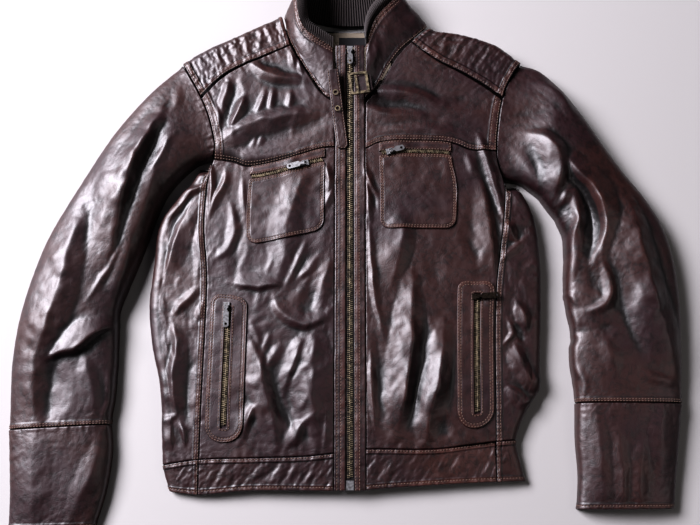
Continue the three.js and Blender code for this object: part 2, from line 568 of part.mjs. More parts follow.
function addFront(side, sign) {
  const grid = FRONT_GRID[side];
  const place = (a, b, up) => {
    const [x, y] = frontPlace(side, sign, a, b);
    return [x, y, frontHeight(x, y) + up];
  };
  const onPanel = (a, b) => [place(a, b, 0), place(a, b, -WALL)];
  addGrid(`front_${side}`, "leather", grid.columns, grid.rows, onPanel);

  // A piece sewn on the panel covers whole cells of its grid.
  const sewn = (name, look, keep, low, high) => {
    const outer = [];
    const inner = [];
    for (const b of grid.rows) {
      for (const a of grid.columns) {
        outer.push(place(a, b, high));
        inner.push(place(a, b, low));
      }
    }
    const column = grid.columns;
    const row = grid.rows;
    const inside = (r, c) => keep(column[c], column[c + 1], row[r], row[r + 1]);
    add(name, wall(outer, inner, cells(row.length, column.length, false, inside)), look);
  };
  const { pocket, welt } = grid;
  const rowBefore = grid.rows[grid.rows.indexOf(pocket.bottom) - 1];
  const columnAfter = grid.columns[grid.columns.indexOf(pocket.from) + 1];
  const columnBefore = grid.columns[grid.columns.indexOf(pocket.to) - 1];
  sewn(`chest_pocket_${side}`, "leather", (a0, a1, b0, b1) => {
    if (a0 < pocket.from || a1 > pocket.to || b0 < pocket.bag || b1 > pocket.bottom) return false;
    if (b0 === rowBefore && a1 === columnAfter) return "d";
    if (b0 === rowBefore && a0 === columnBefore) return "e";
    return true;
  }, ON_PANEL, ON_PANEL + PATCH);
  sewn(`chest_welt_${side}`, "leather", (a0, a1, b0, b1) =>
    a0 >= pocket.from && a1 <= pocket.to && b1 <= pocket.slit, ON_PANEL, ON_PANEL + PATCH);
  sewn(`hand_welt_${side}`, "leather", (a0, a1, b0, b1) => {
    if (a0 < welt.from || a1 > welt.to || b0 < welt.top || b1 > welt.bottom) return false;
    if (a0 >= welt.zipFrom && a1 <= welt.zipTo && b0 >= welt.slot && b1 <= welt.end) return false;
    const left = a0 === welt.from;
    const right = a1 === welt.to;
    if (b0 === welt.top && left) return "a";
    if (b0 === welt.top && right) return "b";
    if (b1 === welt.bottom && left) return "d";
    if (b1 === welt.bottom && right) return "e";
    return true;
  }, ON_PANEL, ON_PANEL + PATCH);

  // The zips lie in their slits, just clear of the welts.
  const inset = 0.002;
  const zip = (name, us, vs) => addGrid(name, "brass", us, vs,
    (a, b) => [place(a, b, ON_PANEL + POCKET_CHAIN), place(a, b, ON_PANEL)]);
  const zipColumns = grid.columns.filter((a) => a >= pocket.from && a <= pocket.to);
  zip(`chest_zip_${side}`, zipColumns, [pocket.slit + inset, pocket.bag - inset]);
  const zipRows = grid.rows.filter((b) => b > welt.slot && b < welt.end);
  zip(`hand_zip_${side}`, [welt.zipFrom + inset, welt.zipTo - inset],
    [welt.slot + inset, ...zipRows, welt.end - inset]);
}
for (const [side, sign] of SIDES) addFront(side, sign);

// ---------------------------------------------------------------- chest panels
function addChest(side, sign) {
  const armhole = run(ARMHOLE[side]);
  const shoulder = run([...SHOULDER_SEAM[side]].reverse());
  const neck = run(NECK_SEAM[side]);
  const near = sign * (PLACKET_OUT + 2 * SEAM);
  const start = armhole(CHEST_FOOT[side]);
  const bottom = (u) => {
    const x = mix(start[0], near, u);
    return [x, chestSeamY(x)];
  };
  const corner = armhole(CHEST_HEAD[side]);
  const toCorner = corner.map((v, i) => v - shoulder(0)[i]);
  const top = (u) => shoulder(u).map((v, i) => v + toCorner[i] * (1 - u));
  const outside = (v) => {
    const p = armhole(mix(CHEST_FOOT[side], CHEST_HEAD[side], v));
    return v === 0 ? [p[0], chestSeamY(p[0])] : p;
  };
  const inside = (v) => (v < BESIDE_ZIP
    ? fromTo([near, chestSeamY(near)], neck(0), v / BESIDE_ZIP)
    : neck((v - BESIDE_ZIP) / (1 - BESIDE_ZIP)));
  // Drawn in a little towards its middle, so that its seams stay open.
  const middle = [sign * 110, 220];
  const drawnIn = 0.004;
  const place = (u, v, up) => {
    const p = patch(bottom, top, outside, inside, u, v);
    const [x, y] = fromTo(p, middle, drawnIn);
    return [x, y, frontHeight(x, y) + up];
  };
  addGrid(`chest_${side}`, "leather", spread(12), spread(11), (u, v) => [place(u, v, 0), place(u, v, -WALL)]);
}
for (const [side, sign] of SIDES) addChest(side, sign);

// ---------------------------------------------------------------- side panels
// Section round a side edge: along the top, round the edge and under to the back seam.
function roundSection(inner, edge, back, sign, yAt, place) {
  const round = Math.min(SIDE_ROUND, Math.abs(edge - inner) * 0.6);
  const centre = edge - sign * round;
  const half = frontHeight(centre, yAt(centre)) / 2;
  if (place <= TOP_SHARE) {
    const x = mix(inner, centre, place / TOP_SHARE);
    const top = frontHeight(x, yAt(x));
    return [[x, yAt(x), top], [x, yAt(x), top - BACK_WALL]];
  }
  if (place <= ROUND_SHARE) {
    const angle = Math.PI * ((place - TOP_SHARE) / (ROUND_SHARE - TOP_SHARE));
    const [s, c] = [Math.sin(angle), Math.cos(angle)];
    const [x, under] = [centre + sign * round * s, centre + sign * (round - BACK_WALL) * s];
    return [[x, yAt(x), half + half * c], [under, yAt(x), half + (half - BACK_WALL) * c]];
  }
  const x = mix(centre, back, (place - ROUND_SHARE) / (1 - ROUND_SHARE));
  return [[x, yAt(x), 0], [x, yAt(x), BACK_WALL]];
}

// Height of a side panel's row at x: it starts level with the front's row and ends along the hem seam.
function sideRow(side, sign, b) {
  const [seamX, seamY] = frontPlace(side, sign, 1, b);
  const yAt = (x) => seamY + (hemSeamY(x) - hemSeamY(seamX)) * b ** 3;
  return { seamX, seamY, yAt };
}

function sideRows(side, sign) {
  return FRONT_GRID[side].rows.map((b) => sideRow(side, sign, b)).filter((row) => row.seamY < SIDE_TOP[side]);
}

function addSide(side, sign) {
  addGrid(`side_${side}`, "leather", SECTION_PLACES, sideRows(side, sign), (u, row) => {
    const edge = sideEdgeX(side, row.seamY);
    return roundSection(row.seamX + sign * 2 * SEAM, edge, edge - sign * SIDE_WRAP, sign, row.yAt, u);
  });
}
for (const [side, sign] of SIDES) addSide(side, sign);

// ---------------------------------------------------------------- shoulder patches
// Sections from the front seam over the shoulder line and under to the back seam.
// Plan of a shoulder patch: u along the shoulder from neck to armhole, v from front seam to edge.
function shoulderPlan(side, sign, u) {
  const front = run(SHOULDER_SEAM[side]);
  const edge = run(SHOULDER_EDGE[side]);
  const neckEnd = run(NECK_END[side]);
  const armhole = run(ARMHOLE[side]);
  const outside = (t) => armhole(mix(SHOULDER_HEAD[side], 0, t));
  const middle = [sign * 165, 285];
  const drawnIn = 0.007;
  const reach = Math.hypot(edge(u)[0] - front(u)[0], edge(u)[1] - front(u)[1]);
  const round = Math.min(SIDE_ROUND, reach * 0.4) / reach;
  const plan = (v) => fromTo(patch(front, edge, neckEnd, outside, u, v), middle, drawnIn);
  return { plan, reach, round, flat: 1 - round, back: 1 - round - SHOULDER_WRAP / 2 / reach };
}

function addShoulder(side, sign) {
  const puckers = (u, v) => PUCKER * Math.sin(Math.PI * 2 * SHOULDER_PUCKERS * u) * Math.sin(Math.PI * v);
  const along = spread(2 * SHOULDER_PUCKERS + 2);
  addGrid(`shoulder_patch_${side}`, "leather", along, SECTION_PLACES, (u, place) => {
    const { plan, reach, round, flat, back } = shoulderPlan(side, sign, u);
    const [cx, cy] = plan(flat);
    const half = frontHeight(cx, cy) / 2;
    if (place <= TOP_SHARE) {
      const across = place / TOP_SHARE;
      const [x, y] = plan(across * flat);
      const z = frontHeight(x, y);
      return [[x, y, z + puckers(u, across)], [x, y, z - WALL]];
    }
    if (place <= ROUND_SHARE) {
      const angle = Math.PI * ((place - TOP_SHARE) / (ROUND_SHARE - TOP_SHARE));
      const s = Math.sin(angle);
      const [x, y] = plan(flat + round * s);
      const [ix, iy] = plan(flat + (round - BACK_WALL / reach) * s);
      return [[x, y, half + half * Math.cos(angle)], [ix, iy, half + (half - BACK_WALL) * Math.cos(angle)]];
    }
    const [x, y] = plan(mix(flat, back, (place - ROUND_SHARE) / (1 - ROUND_SHARE)));
    return [[x, y, 0], [x, y, BACK_WALL]];
  });
}
for (const [side, sign] of SIDES) addShoulder(side, sign);

// ---------------------------------------------------------------- sleeves and cuffs
// Point of a sleeve's section: angle 0 at the outer edge, 180 at the inner one.
function sleevePoint(row, degrees, inset, lift, shift) {
  const angle = radians(degrees);
  const across = (1 - Math.cos(angle)) / 2;
  const wide = Math.hypot(row.inX - row.outX, row.inY - row.outY);
  const t = mix(inset / wide, 1 - inset / wide, across);
  const [dx, dy] = shift(across);
  const x = mix(row.outX, row.inX, t) + dx;
  const y = mix(row.outY, row.inY, t) + dy;
  const s = Math.max(0, Math.sin(angle));
  const arch = row.high * s ** ARCH_FULLNESS + foldHeight(SLEEVE_FOLDS, x, y) * s ** 0.7;
  return [x, y, arch * lift, s];
}

// Plan shift that brings a sleeve's first sections on to the curved armhole.
function armholeShift(side, place) {
  const armhole = run(ARMHOLE[side]);
  const first = SLEEVE[side][0];
  const fade = 1 - ease(place / 2.2);
  return (across) => {
    const [x, y] = armhole(across);
    const straight = [mix(first.outX, first.inX, across), mix(first.outY, first.inY, across)];
    return [(x - straight[0]) * fade, (y - straight[1]) * fade];
  };
}

function addSleeve(side, sign) {
  const rows = SLEEVE[side];
  const last = rows.length - 1;
  const stations = spread(SLEEVE_STATIONS).map((t) => t ** 1.1 * last);
  const start = ARMHOLE_SEAM + 0.35; // the first section's step away from the armhole
  addGrid(`sleeve_top_${side}`, "leather", ARCH_ANGLES, stations, (degrees, place) => {
    const row = rowAt(rows, place);
    const shift = armholeShift(side, place);
    const point = (inset, lift) => {
      const [x, y, z, s] = sleevePoint(row, degrees, inset, 1, shift);
      const body = frontHeight(x, y) * s ** 0.3;
      const seam = mix(body, z, ease(place / 2));
      return [x + (place === 0 ? sign * start : 0), y, Math.max(0, seam - lift * s ** 0.35)];
    };
    return [point(0, 0), point(WALL, WALL)];
  });
  // The under sleeve lies flat inside the edges of the top one.
  const edge = (place, across) => {
    const row = rowAt(rows, place);
    const wide = Math.hypot(row.inX - row.outX, row.inY - row.outY);
    const inset = (WALL + 2 * SEAM + 0.2) / wide;
    const [dx, dy] = armholeShift(side, place)(across);
    const t = mix(inset, 1 - inset, across);
    const x = mix(row.outX, row.inX, t) + dx;
    return [x + (place === 0 ? sign * start : 0), mix(row.outY, row.inY, t) + dy];
  };
  const armholeEdge = ARCH_ANGLES.slice(1, -1).map((d) => edge(0, (1 - Math.cos(radians(d))) / 2));
  const outline = [
    ...armholeEdge,
    ...stations.map((s) => edge(s, 1)),
    ...[...stations].reverse().map((s) => edge(s, 0)),
  ];
  addFlat(`sleeve_under_${side}`, "leather", outline, 0, BACK_WALL);
}

// A cuff is one ring of leather: over the top and back along the surface below.
function addCuff(side) {
  const rows = CUFF[side];
  const underneath = 200; // places past this are on the underside
  const places = [...ARCH_ANGLES, ...CUFF_UNDER.map((t) => underneath + t)];
  const stations = spread(CUFF_STATIONS).map((t) => t * (rows.length - 1));
  const none = () => [0, 0];
  addGrid(`cuff_${side}`, "leather", places, stations, (where, place) => {
    const row = rowAt(rows, place);
    if (where < underneath) {
      const [x, y, z] = sleevePoint(row, where, 0, 1, none);
      const [ix, iy, iz] = sleevePoint(row, where, WALL, 1, none);
      return [[x, y, z], [ix, iy, WALL + iz * (1 - (2 * WALL) / row.high)]];
    }
    const t = where - underneath;
    const x = mix(row.outX, row.inX, t);
    const y = mix(row.outY, row.inY, t);
    return [[x, y, 0], [x, y, WALL]];
  }, true);
}
for (const [side, sign] of SIDES) {
  addSleeve(side, sign);
  addCuff(side);
}

// ---------------------------------------------------------------- hem band
function addHem() {
  const hemRows = [0, 0.3, 0.65, 1];
  const hemPlace = (x, v) => [x, mix(hemSeamY(x) - SEAM, hemEdgeY(x), v)];
  for (const [side, sign] of SIDES) {
    const from = sign * (PLACKET_OUT + 2 * SEAM);
    const to = frontEdgeX(side, -280);
    addGrid(`hem_front_${side}`, "leather", spread(2 * RIDGES_PER_HEM + 1), hemRows, (u, v) => {
      const [x, y] = hemPlace(mix(from, to, u), v);
      const across = Math.sin(Math.PI * clamp(v, 0.12, 0.88));
      const ridge = PUCKER * Math.cos(Math.PI * 2 * RIDGES_PER_HEM * u) * across;
      const z = frontHeight(x, y) + 0.6;
      return [[x, y, z + ridge], [x, y, z - WALL - 0.8]];
    });
    addGrid(`hem_side_${side}`, "leather", SECTION_PLACES, hemRows, (u, v) => {
      const yAt = (x) => hemPlace(x, v)[1];
      const edge = sideEdgeX(side, yAt(sign * 215));
      return roundSection(to + sign * 2 * SEAM, edge, edge - sign * SIDE_WRAP, sign, yAt, u);
    });
  }
  const [left, right] = SIDES.map(([side, sign]) => (v) => {
    const edge = sideEdgeX(side, hemPlace(sign * 215, v)[1]);
    const x = edge - sign * (SIDE_WRAP + 2 * SEAM);
    return hemPlace(x, v);
  });
  const outline = [
    ...hemRows.map((v) => left(v)),
    [-HEM_MID, hemEdgeY(-HEM_MID) + 2],
    [HEM_MID, hemEdgeY(HEM_MID) + 2],
    ...[...hemRows].reverse().map((v) => right(v)),
    [HEM_MID, hemSeamY(HEM_MID) - 4],
    [-HEM_MID, hemSeamY(-HEM_MID) - 4],
  ];
  addFlat("hem_back", "leather", outline, 0, BACK_WALL);
}
addHem();

// ---------------------------------------------------------------- back panel and what shows of the lining
function addBack() {
  const sideSeam = (side, sign) => sideRows(side, sign).map((row) => {
    const x = sideEdgeX(side, row.seamY) - sign * (SIDE_WRAP + 2 * SEAM);
    return [x, row.yAt(x)];
  });
  const armhole = (side, sign) => ARCH_ANGLES.slice(5, -2).map((degrees) => {
    const [x, y] = run(ARMHOLE[side])((1 - Math.cos(radians(degrees))) / 2);
    return [x - sign * ARMHOLE_SEAM, y];
  });
  const shoulder = (side, sign) => spread(2 * SHOULDER_PUCKERS + 2).map((u) => {
    const { plan, reach, back } = shoulderPlan(side, sign, u);
    return plan(back - 0.5 / reach);
  });
  const outline = [
    ...shoulder("left", -1),
    ...armhole("left", -1),
    ...sideSeam("left", -1),
    [-HEM_MID, hemSeamY(-HEM_MID) - 3.5],
    [HEM_MID, hemSeamY(HEM_MID) - 3.5],
    ...[...sideSeam("right", 1)].reverse(),
    ...[...armhole("right", 1)].reverse(),
    ...[...shoulder("right", 1)].reverse(),
    ...BACK_NECK,
  ];
  addFlat("back_panel", "leather", outline, 0, BACK_WALL);
  const liningTop = BACK_WALL + ON_PANEL + LINING_WALL;
  addFlat("lining_back_neck", "lining", LINING_OUTLINE, BACK_WALL + ON_PANEL, liningTop);
  addFlat("neck_label", "label", LABEL_OUTLINE, liningTop + ON_PANEL, liningTop + ON_PANEL + LABEL_WALL);
}
addBack();

// ---------------------------------------------------------------- strips beside the zip, main zip
// The strips and the zip run on up over the standing front of the collar.
const STAND_FROM = 220;
const STAND_RUN = 85;
const STAND_HIGH = 14;
const zipHeight = (x, y) => frontHeight(x, Math.min(y, STAND_FROM + 5))
  + STAND_HIGH * ease((y - STAND_FROM) / STAND_RUN);

function addZipStrips() {
  const rows = spread(28);
  for (const [side, sign] of SIDES) {
    addGrid(`placket_${side}`, "leather", [0, 0.5, 1], rows, (u, v) => {
      const x = sign * mix(PLACKET_IN, PLACKET_OUT, u);
      const y = mix(HEM_Y, COLLAR_TOP_Y, v);
      const z = zipHeight(x, y);
      return [[x, y, z + 1.2], [x, y, z - WALL]];
    });
  }
  addGrid("zip_chain", "brass", [-1, 1], rows, (u, v) => {
    const y = mix(HEM_Y + CHAIN_FROM, COLLAR_TOP_Y - CHAIN_TO, v);
    const z = zipHeight(0, y);
    return [[u * CHAIN_HALF, y, z + CHAIN_TOP], [u * CHAIN_HALF, y, z - 1.4]];
  });
  const box = new THREE.BoxGeometry(9.4, 12, 3);
  box.translate(0, HEM_Y + 7, zipHeight(0, HEM_Y + 7) + 0.6);
  add("zip_box", box, "nickel");
}
addZipStrips();

// ---------------------------------------------------------------- collar
// The knit's section: places on the lining side, angles round its roll, places back down the leather.
const KNIT_INSIDE = [0.04, 0.62, 0.9];
const KNIT_ROUND = [195, 140, 85, 30, -25];
const KNIT_BEHIND = [0.93, 0.62, 0.3, 0.04];

function addCollar() {
  const last = COLLAR.length - 1;
  const frame = (place) => {
    const c = rowAt(COLLAR, place);
    const seam = new THREE.Vector3(c.seamX, c.seamY, c.seamZ);
    const top = new THREE.Vector3(c.topX, c.topY, c.topZ);
    const a = rowAt(COLLAR, Math.max(0, place - 0.2));
    const b = rowAt(COLLAR, Math.min(last, place + 0.2));
    const along = new THREE.Vector3(b.topX + b.seamX - a.topX - a.seamX, b.topY + b.seamY - a.topY - a.seamY,
      b.topZ + b.seamZ - a.topZ - a.seamZ).normalize();
    const up = top.clone().sub(seam).normalize();
    const out = new THREE.Vector3().crossVectors(up, along).normalize();
    return { seam, top, up, out };
  };
  const at = (f, v, off) => f.seam.clone().lerp(f.top, v)
    .addScaledVector(f.out, off + COLLAR_BULGE * Math.sin(Math.PI * v)).toArray();
  const leatherRows = [0, 0.3, 0.62, 0.93];
  const stations = spread(COLLAR_STATIONS).map((t) => t * last);
  addGrid("collar_leather", "leather", stations, leatherRows, (place, v) => {
    const f = frame(place);
    return [at(f, v, 0), at(f, v, -COLLAR_WALL)];
  });
  // The ribbed knit lines the leather and rolls over its top; ribs are raised on what shows.
  const section = (place, rib) => {
    const f = frame(place);
    const behind = COLLAR_WALL + 1 + KNIT_SLACK * Math.sin((Math.PI * place) / last) ** 2;
    const points = KNIT_INSIDE.map((v) => at(f, v, -behind - KNIT_WALL - rib));
    const centre = f.top.clone().addScaledVector(f.up, KNIT_ROLL - 1).addScaledVector(f.out, -1.5);
    for (const degrees of KNIT_ROUND) {
      const angle = radians(degrees);
      const r = KNIT_ROLL + (degrees > 0 ? rib : 0);
      const along = f.out.clone().multiplyScalar(r * Math.cos(angle));
      points.push(centre.clone().add(along).addScaledVector(f.up, r * Math.sin(angle)).toArray());
    }
    return [...points, ...KNIT_BEHIND.map((v) => at(f, v, -behind))];
  };
  const rings = [];
  for (let i = 0; i < stations.length - 1; i++) {
    for (let k = 0; k < 2 * RIBS_PER_STATION; k++) {
      const rib = k % 2 ? RIB_DEPTH : 0;
      const [a, b] = [section(stations[i], rib), section(stations[i + 1], rib)];
      rings.push(a.map((p, n) => fromTo(p, b[n], k / (2 * RIBS_PER_STATION))));
    }
  }
  rings.push(section(last, 0));
  add("collar_knit", ringSolid(rings), "knit");
}

// A closed bar through sections of points, capped at both ends.
function ringSolid(rings) {
  const count = rings[0].length;
  const points = rings.flat();
  const faces = cells(rings.length, count, true);
  const caps = THREE.ShapeUtils.triangulateShape(rings[0].map((_, i) => {
    const a = (Math.PI * 2 * i) / count;
    return new THREE.Vector2(Math.cos(a), Math.sin(a));
  }), []);
  const base = (rings.length - 1) * count;
  for (const [a, b, c] of caps) {
    faces.push([a, c, b], [base + a, base + b, base + c]);
  }
  const corner = (i) => new THREE.Vector3(...points[i]);
  let volume = 0;
  for (const [a, b, c] of faces) volume += corner(a).dot(corner(b).cross(corner(c)));
  const geometry = new THREE.BufferGeometry();
  geometry.setAttribute("position", new THREE.Float32BufferAttribute(points.flat(), 3));
  geometry.setIndex((volume < 0 ? faces.map(([a, b, c]) => [a, c, b]) : faces).flat());
  geometry.computeVertexNormals();
  return geometry;
}
addCollar();

// ---------------------------------------------------------------- zip sliders and pull tabs
// Geometries fused into one closed body.
function joined(geometries) {
  const solids = geometries.map((geometry) => new wasm.Manifold(new wasm.Mesh(mergeCorners(geometry))));
  const whole = solids.reduce((a, b) => a.add(b)).getMesh();
  const out = new THREE.BufferGeometry();
  const flat = new Float32Array(whole.numVert * 3);
  for (let i = 0; i < whole.numVert; i++) {
    for (let k = 0; k < 3; k++) flat[3 * i + k] = whole.vertProperties[i * whole.numProp + k];
  }
  out.setAttribute("position", new THREE.BufferAttribute(flat, 3));
  out.setIndex([...whole.triVerts]);
  out.computeVertexNormals();
  return out;
}

function mergeCorners(geometry) {
  const position = geometry.getAttribute("position");
  const index = geometry.index ? [...geometry.index.array] : [...Array(position.count).keys()];
  const known = new Map();
  const flat = [];
  const triVerts = index.map((i) => {
    const p = [position.getX(i), position.getY(i), position.getZ(i)];
    const key = p.map((value) => Math.round(value * 1e4)).join();
    if (!known.has(key)) {
      known.set(key, known.size);
      flat.push(...p);
    }
    return known.get(key);
  });
  return { numProp: 3, vertProperties: new Float32Array(flat), triVerts: new Uint32Array(triVerts) };
}

function addSlider(s) {
  const main = s.name === "zip";
  const chain = main ? zipHeight(s.x, s.y) + CHAIN_TOP : frontHeight(s.x, s.y) + ON_PANEL + POCKET_CHAIN;
  const level = chain + s.lift;
  const [wide, end] = [SLIDER.wide / 2, SLIDER.long / 2];
  const tail = wide * SLIDER.tail;
  const body = outlineShape([[-wide, end], [wide, end], [tail, -end], [-tail, -end]]);
  const plate = new THREE.ExtrudeGeometry(body, { depth: SLIDER.thick, bevelEnabled: false });
  const axisZ = SLIDER.thick + SLIDER.axisUp;
  const ears = [-1, 1].map((k) => {
    const ear = new THREE.BoxGeometry(SLIDER.ear, SLIDER.earLong, SLIDER.axisUp + 2);
    ear.translate((k * (SLIDER.gap + SLIDER.ear)) / 2, PULL_AXIS_Y, SLIDER.thick + SLIDER.axisUp / 2 + 0.3);
    return ear;
  });
  const place = (geometry) => {
    geometry.rotateZ(radians(s.turn));
    geometry.translate(s.x, s.y, level);
    return geometry;
  };
  const metal = s.name === "hand_zip_right" ? "bronze" : "nickel";
  const slider = add(`${s.name}_slider`, place(joined([plate, ...ears])), metal);
  slider.userData.place = { x: s.x, y: s.y, z: level + axisZ };

  // The pull lies from its hinge between the ears, along the slider's tail.
  const half = PULL.wide / 2;
  const neck = PULL.neck / 2;
  const side = [
    [neck, PULL.thick / 2],
    [neck, -PULL.neckLong],
    [half, -PULL.neckLong - PULL.flare],
    [half, -s.pull + PULL.corner],
    [half - PULL.corner, -s.pull],
  ];
  const tab = outlineShape([...side, ...side.map(([x, y]) => [-x, y]).reverse()]);
  const hole = new THREE.Path();
  hole.absarc(0, -s.pull + PULL.holeIn, PULL.hole, 0, Math.PI * 2);
  tab.holes.push(hole);
  const pull = new THREE.ExtrudeGeometry(tab, { depth: PULL.thick, bevelEnabled: false, curveSegments: 5 });
  pull.translate(0, 0, -PULL.thick / 2);
  pull.rotateX(radians(s.droop));
  pull.translate(0, PULL_AXIS_Y, axisZ);
  add(`${s.name}_pull`, place(pull), metal);
}
for (const s of SLIDERS) addSlider(s);

// ---------------------------------------------------------------- throat strap and buckle
function addStrap() {
  const long = Math.hypot(STRAP.endX - STRAP.topX, STRAP.endY - STRAP.topY);
  const dir = [(STRAP.endX - STRAP.topX) / long, (STRAP.endY - STRAP.topY) / long];
  const side = [-dir[1], dir[0]];
  const level = (t) => {
    const y = mix(STRAP.topY, STRAP.endY, t);
    return zipHeight(-12, y) + STRAP.over + STRAP.rise * ease((y - 190) / 35);
  };
  const spot = (t, u) => [
    mix(STRAP.topX, STRAP.endX, t) + side[0] * u,
    mix(STRAP.topY, STRAP.endY, t) + side[1] * u,
  ];
  const halfAt = (t) => (STRAP.wide / 2) * Math.sqrt(1 - clamp((t - 0.93) / 0.075, 0, 1) ** 2);
  addGrid("throat_strap", "leather", [-1, 0, 1], STRAP_PLACES, (u, t) => {
    const [x, y] = spot(t, u * Math.max(2.5, halfAt(t)));
    return [[x, y, level(t) + STRAP.thick], [x, y, level(t)]];
  });
  EYELETS.forEach((t, i) => {
    const [x, y] = spot(t, 0);
    const z = level(t) + STRAP.thick + EYELET.over;
    const ring = new THREE.Shape();
    ring.absarc(0, 0, EYELET.r, 0, Math.PI * 2);
    const hole = new THREE.Path();
    hole.absarc(0, 0, EYELET.r - EYELET.wall, 0, Math.PI * 2);
    ring.holes.push(hole);
    const depth = EYELET.thick;
    const geometry = new THREE.ExtrudeGeometry(ring, { depth, bevelEnabled: false, curveSegments: 7 });
    geometry.translate(x, y, z);
    add(`strap_eyelet_${i + 1}`, geometry, "brass");
  });
}

function addBuckle() {
  const frame = (x, y) => outlineShape([[-x, -y], [x, -y], [x, y], [-x, y]]);
  const [wide, long] = [BUCKLE.wide / 2, BUCKLE.long / 2];
  const outer = frame(wide, long);
  outer.holes.push(frame(wide - BUCKLE.bar, long - BUCKLE.bar));
  const level = zipHeight(BUCKLE.x, BUCKLE.y) + BUCKLE.over;
  const place = (geometry) => {
    geometry.rotateZ(radians(BUCKLE.turn));
    geometry.translate(BUCKLE.x, BUCKLE.y, level);
    return geometry;
  };
  const bars = new THREE.ExtrudeGeometry(outer, { depth: BUCKLE.thick, bevelEnabled: false });
  add("buckle_frame", place(bars), "brass");
  const window = BUCKLE.long - 2 * BUCKLE.bar;
  const prong = new THREE.BoxGeometry(PRONG.wide, window - 1, PRONG.thick);
  prong.translate(PRONG.x, 0, PRONG.up);
  add("buckle_prong", place(prong), "brass");
  const tab = new THREE.BoxGeometry(BUCKLE_TAB.wide, window - 3, BUCKLE_TAB.thick);
  tab.translate(BUCKLE_TAB.x, 0, BUCKLE_TAB.up);
  add("buckle_tab", place(tab), "leather");
}
addStrap();
addBuckle();

// ---------------------------------------------------------------- origin: middle of the footprint
const box = new THREE.Box3().setFromObject(group);
const middle = box.getCenter(new THREE.Vector3());
group.position.set(-middle.x, -middle.y, -box.min.z);
group.updateMatrixWorld(true);

export default group;
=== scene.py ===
"""The looks of a men's leather biker jacket laid flat: leather panels, seams, zips, collar and hardware.

Tables are in millimetres in the jacket's own layout: x = 0 is the main zip, y = 0 the waist, z = 0 the
surface that it lies on. They repeat the cut of the solids, with finer folds.
"""
import math

import bpy
import numpy as np
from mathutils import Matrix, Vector


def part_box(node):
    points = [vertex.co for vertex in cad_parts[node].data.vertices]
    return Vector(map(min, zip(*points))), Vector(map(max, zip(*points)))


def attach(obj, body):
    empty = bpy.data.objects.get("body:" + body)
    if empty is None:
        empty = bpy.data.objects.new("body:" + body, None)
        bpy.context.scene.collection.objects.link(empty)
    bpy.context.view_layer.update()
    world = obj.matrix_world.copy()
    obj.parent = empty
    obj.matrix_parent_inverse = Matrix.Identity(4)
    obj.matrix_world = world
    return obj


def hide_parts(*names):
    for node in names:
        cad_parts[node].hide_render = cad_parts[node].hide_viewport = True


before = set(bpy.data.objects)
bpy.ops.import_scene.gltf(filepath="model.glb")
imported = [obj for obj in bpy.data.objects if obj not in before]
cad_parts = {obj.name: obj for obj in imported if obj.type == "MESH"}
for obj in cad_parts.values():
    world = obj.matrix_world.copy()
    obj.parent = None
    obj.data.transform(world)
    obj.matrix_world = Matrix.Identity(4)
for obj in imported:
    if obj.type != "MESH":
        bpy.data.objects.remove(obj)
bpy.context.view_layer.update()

# ---------------------------------------------------------------- sizes
MM = 0.001
SIDES = (("left", -1), ("right", 1))
SEAM = 0.15  # half the gap between two panels
HEM_Y, COLLAR_FOOT_Y, COLLAR_TOP_Y = -303, 225, 300  # where the strips beside the zip start, bend and end
PLACKET_IN, PLACKET_OUT = 5.4, 20.5  # their edges, from the zip's middle
CHAIN_FROM = 14  # the chain's end above the hem's edge
SIDE_WRAP, SHOULDER_WRAP = 46, 28  # how far the sides and the shoulders run on underneath
SIDE_ROUND = 13  # radius of their edge
TOP_SHARE, ROUND_SHARE = 0.45, 0.8  # where a section's top and its round edge end, in shares of its places
WALL = 2.2
ARCH_FULLNESS = 0.42  # of a sleeve's section: 1 would be half an ellipse, and less is fuller
# Where the seams meet the armhole, in shares of its length from the shoulder's tip.
CHEST_FOOT = {"left": 0.9, "right": 0.79}
CHEST_HEAD = {"left": 0.42, "right": 0.37}
SHOULDER_HEAD = {"left": 0.4, "right": 0.35}
BESIDE_ZIP = 0.42  # share of a chest panel's inner edge that is beside the zip

# Layout to the frame: the zip's chain runs along x = 0 and starts at a known place.
CHAIN_LOW, CHAIN_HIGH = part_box("zip_chain")
SHIFT = np.array([
    (CHAIN_LOW.x + CHAIN_HIGH.x) / 2 / MM,
    CHAIN_LOW.y / MM - (HEM_Y + CHAIN_FROM),
    0.0,
])

# ---------------------------------------------------------------- cut of the jacket
# Rows are x, y, but the crown's are y and the body's height, and the side and front edges' y, x.
CROWN = ((-305, 15), (-250, 20), (-150, 25), (0, 28), (100, 30), (200, 34), (300, 36), (380, 34))
SIDE_EDGE = {
    "left": ((-310, -231), (-272, -241), (-215, -245), (-165, -250), (-115, -262), (-60, -268),
             (0, -265), (50, -260), (88, -234), (112, -216), (134, -208)),
    "right": ((-300, 228), (-265, 220), (-240, 216), (-205, 230), (-175, 248), (-130, 252),
              (-60, 256), (0, 258), (60, 252), (90, 239), (112, 228)),
}
FRONT_EDGE = {
    "left": ((-310, -195), (-200, -194), (-100, -192), (-20, -192), (40, -198), (90, -197),
             (120, -193), (145, -186)),
    "right": ((-310, 188), (-200, 190), (-110, 192), (-40, 196), (30, 206), (90, 213),
              (110, 211), (135, 204), (160, 202)),
}
CHEST_SEAM = ((-190, 140), (-158, 135), (-139, 129), (-92, 138), (-44, 153), (-20, 156), (20, 154),
              (38, 162), (60, 165), (125, 165), (147, 161), (168, 153), (206, 152))
HEM_SEAM = ((-250, -272), (-196, -264), (-128, -262), (-60, -260), (-20, -256), (20, -251),
            (105, -251), (165, -244), (190, -241), (235, -238))
HEM_EDGE = ((-240, -303), (-195, -308), (-130, -303), (0, -303), (60, -299), (165, -293), (235, -291))
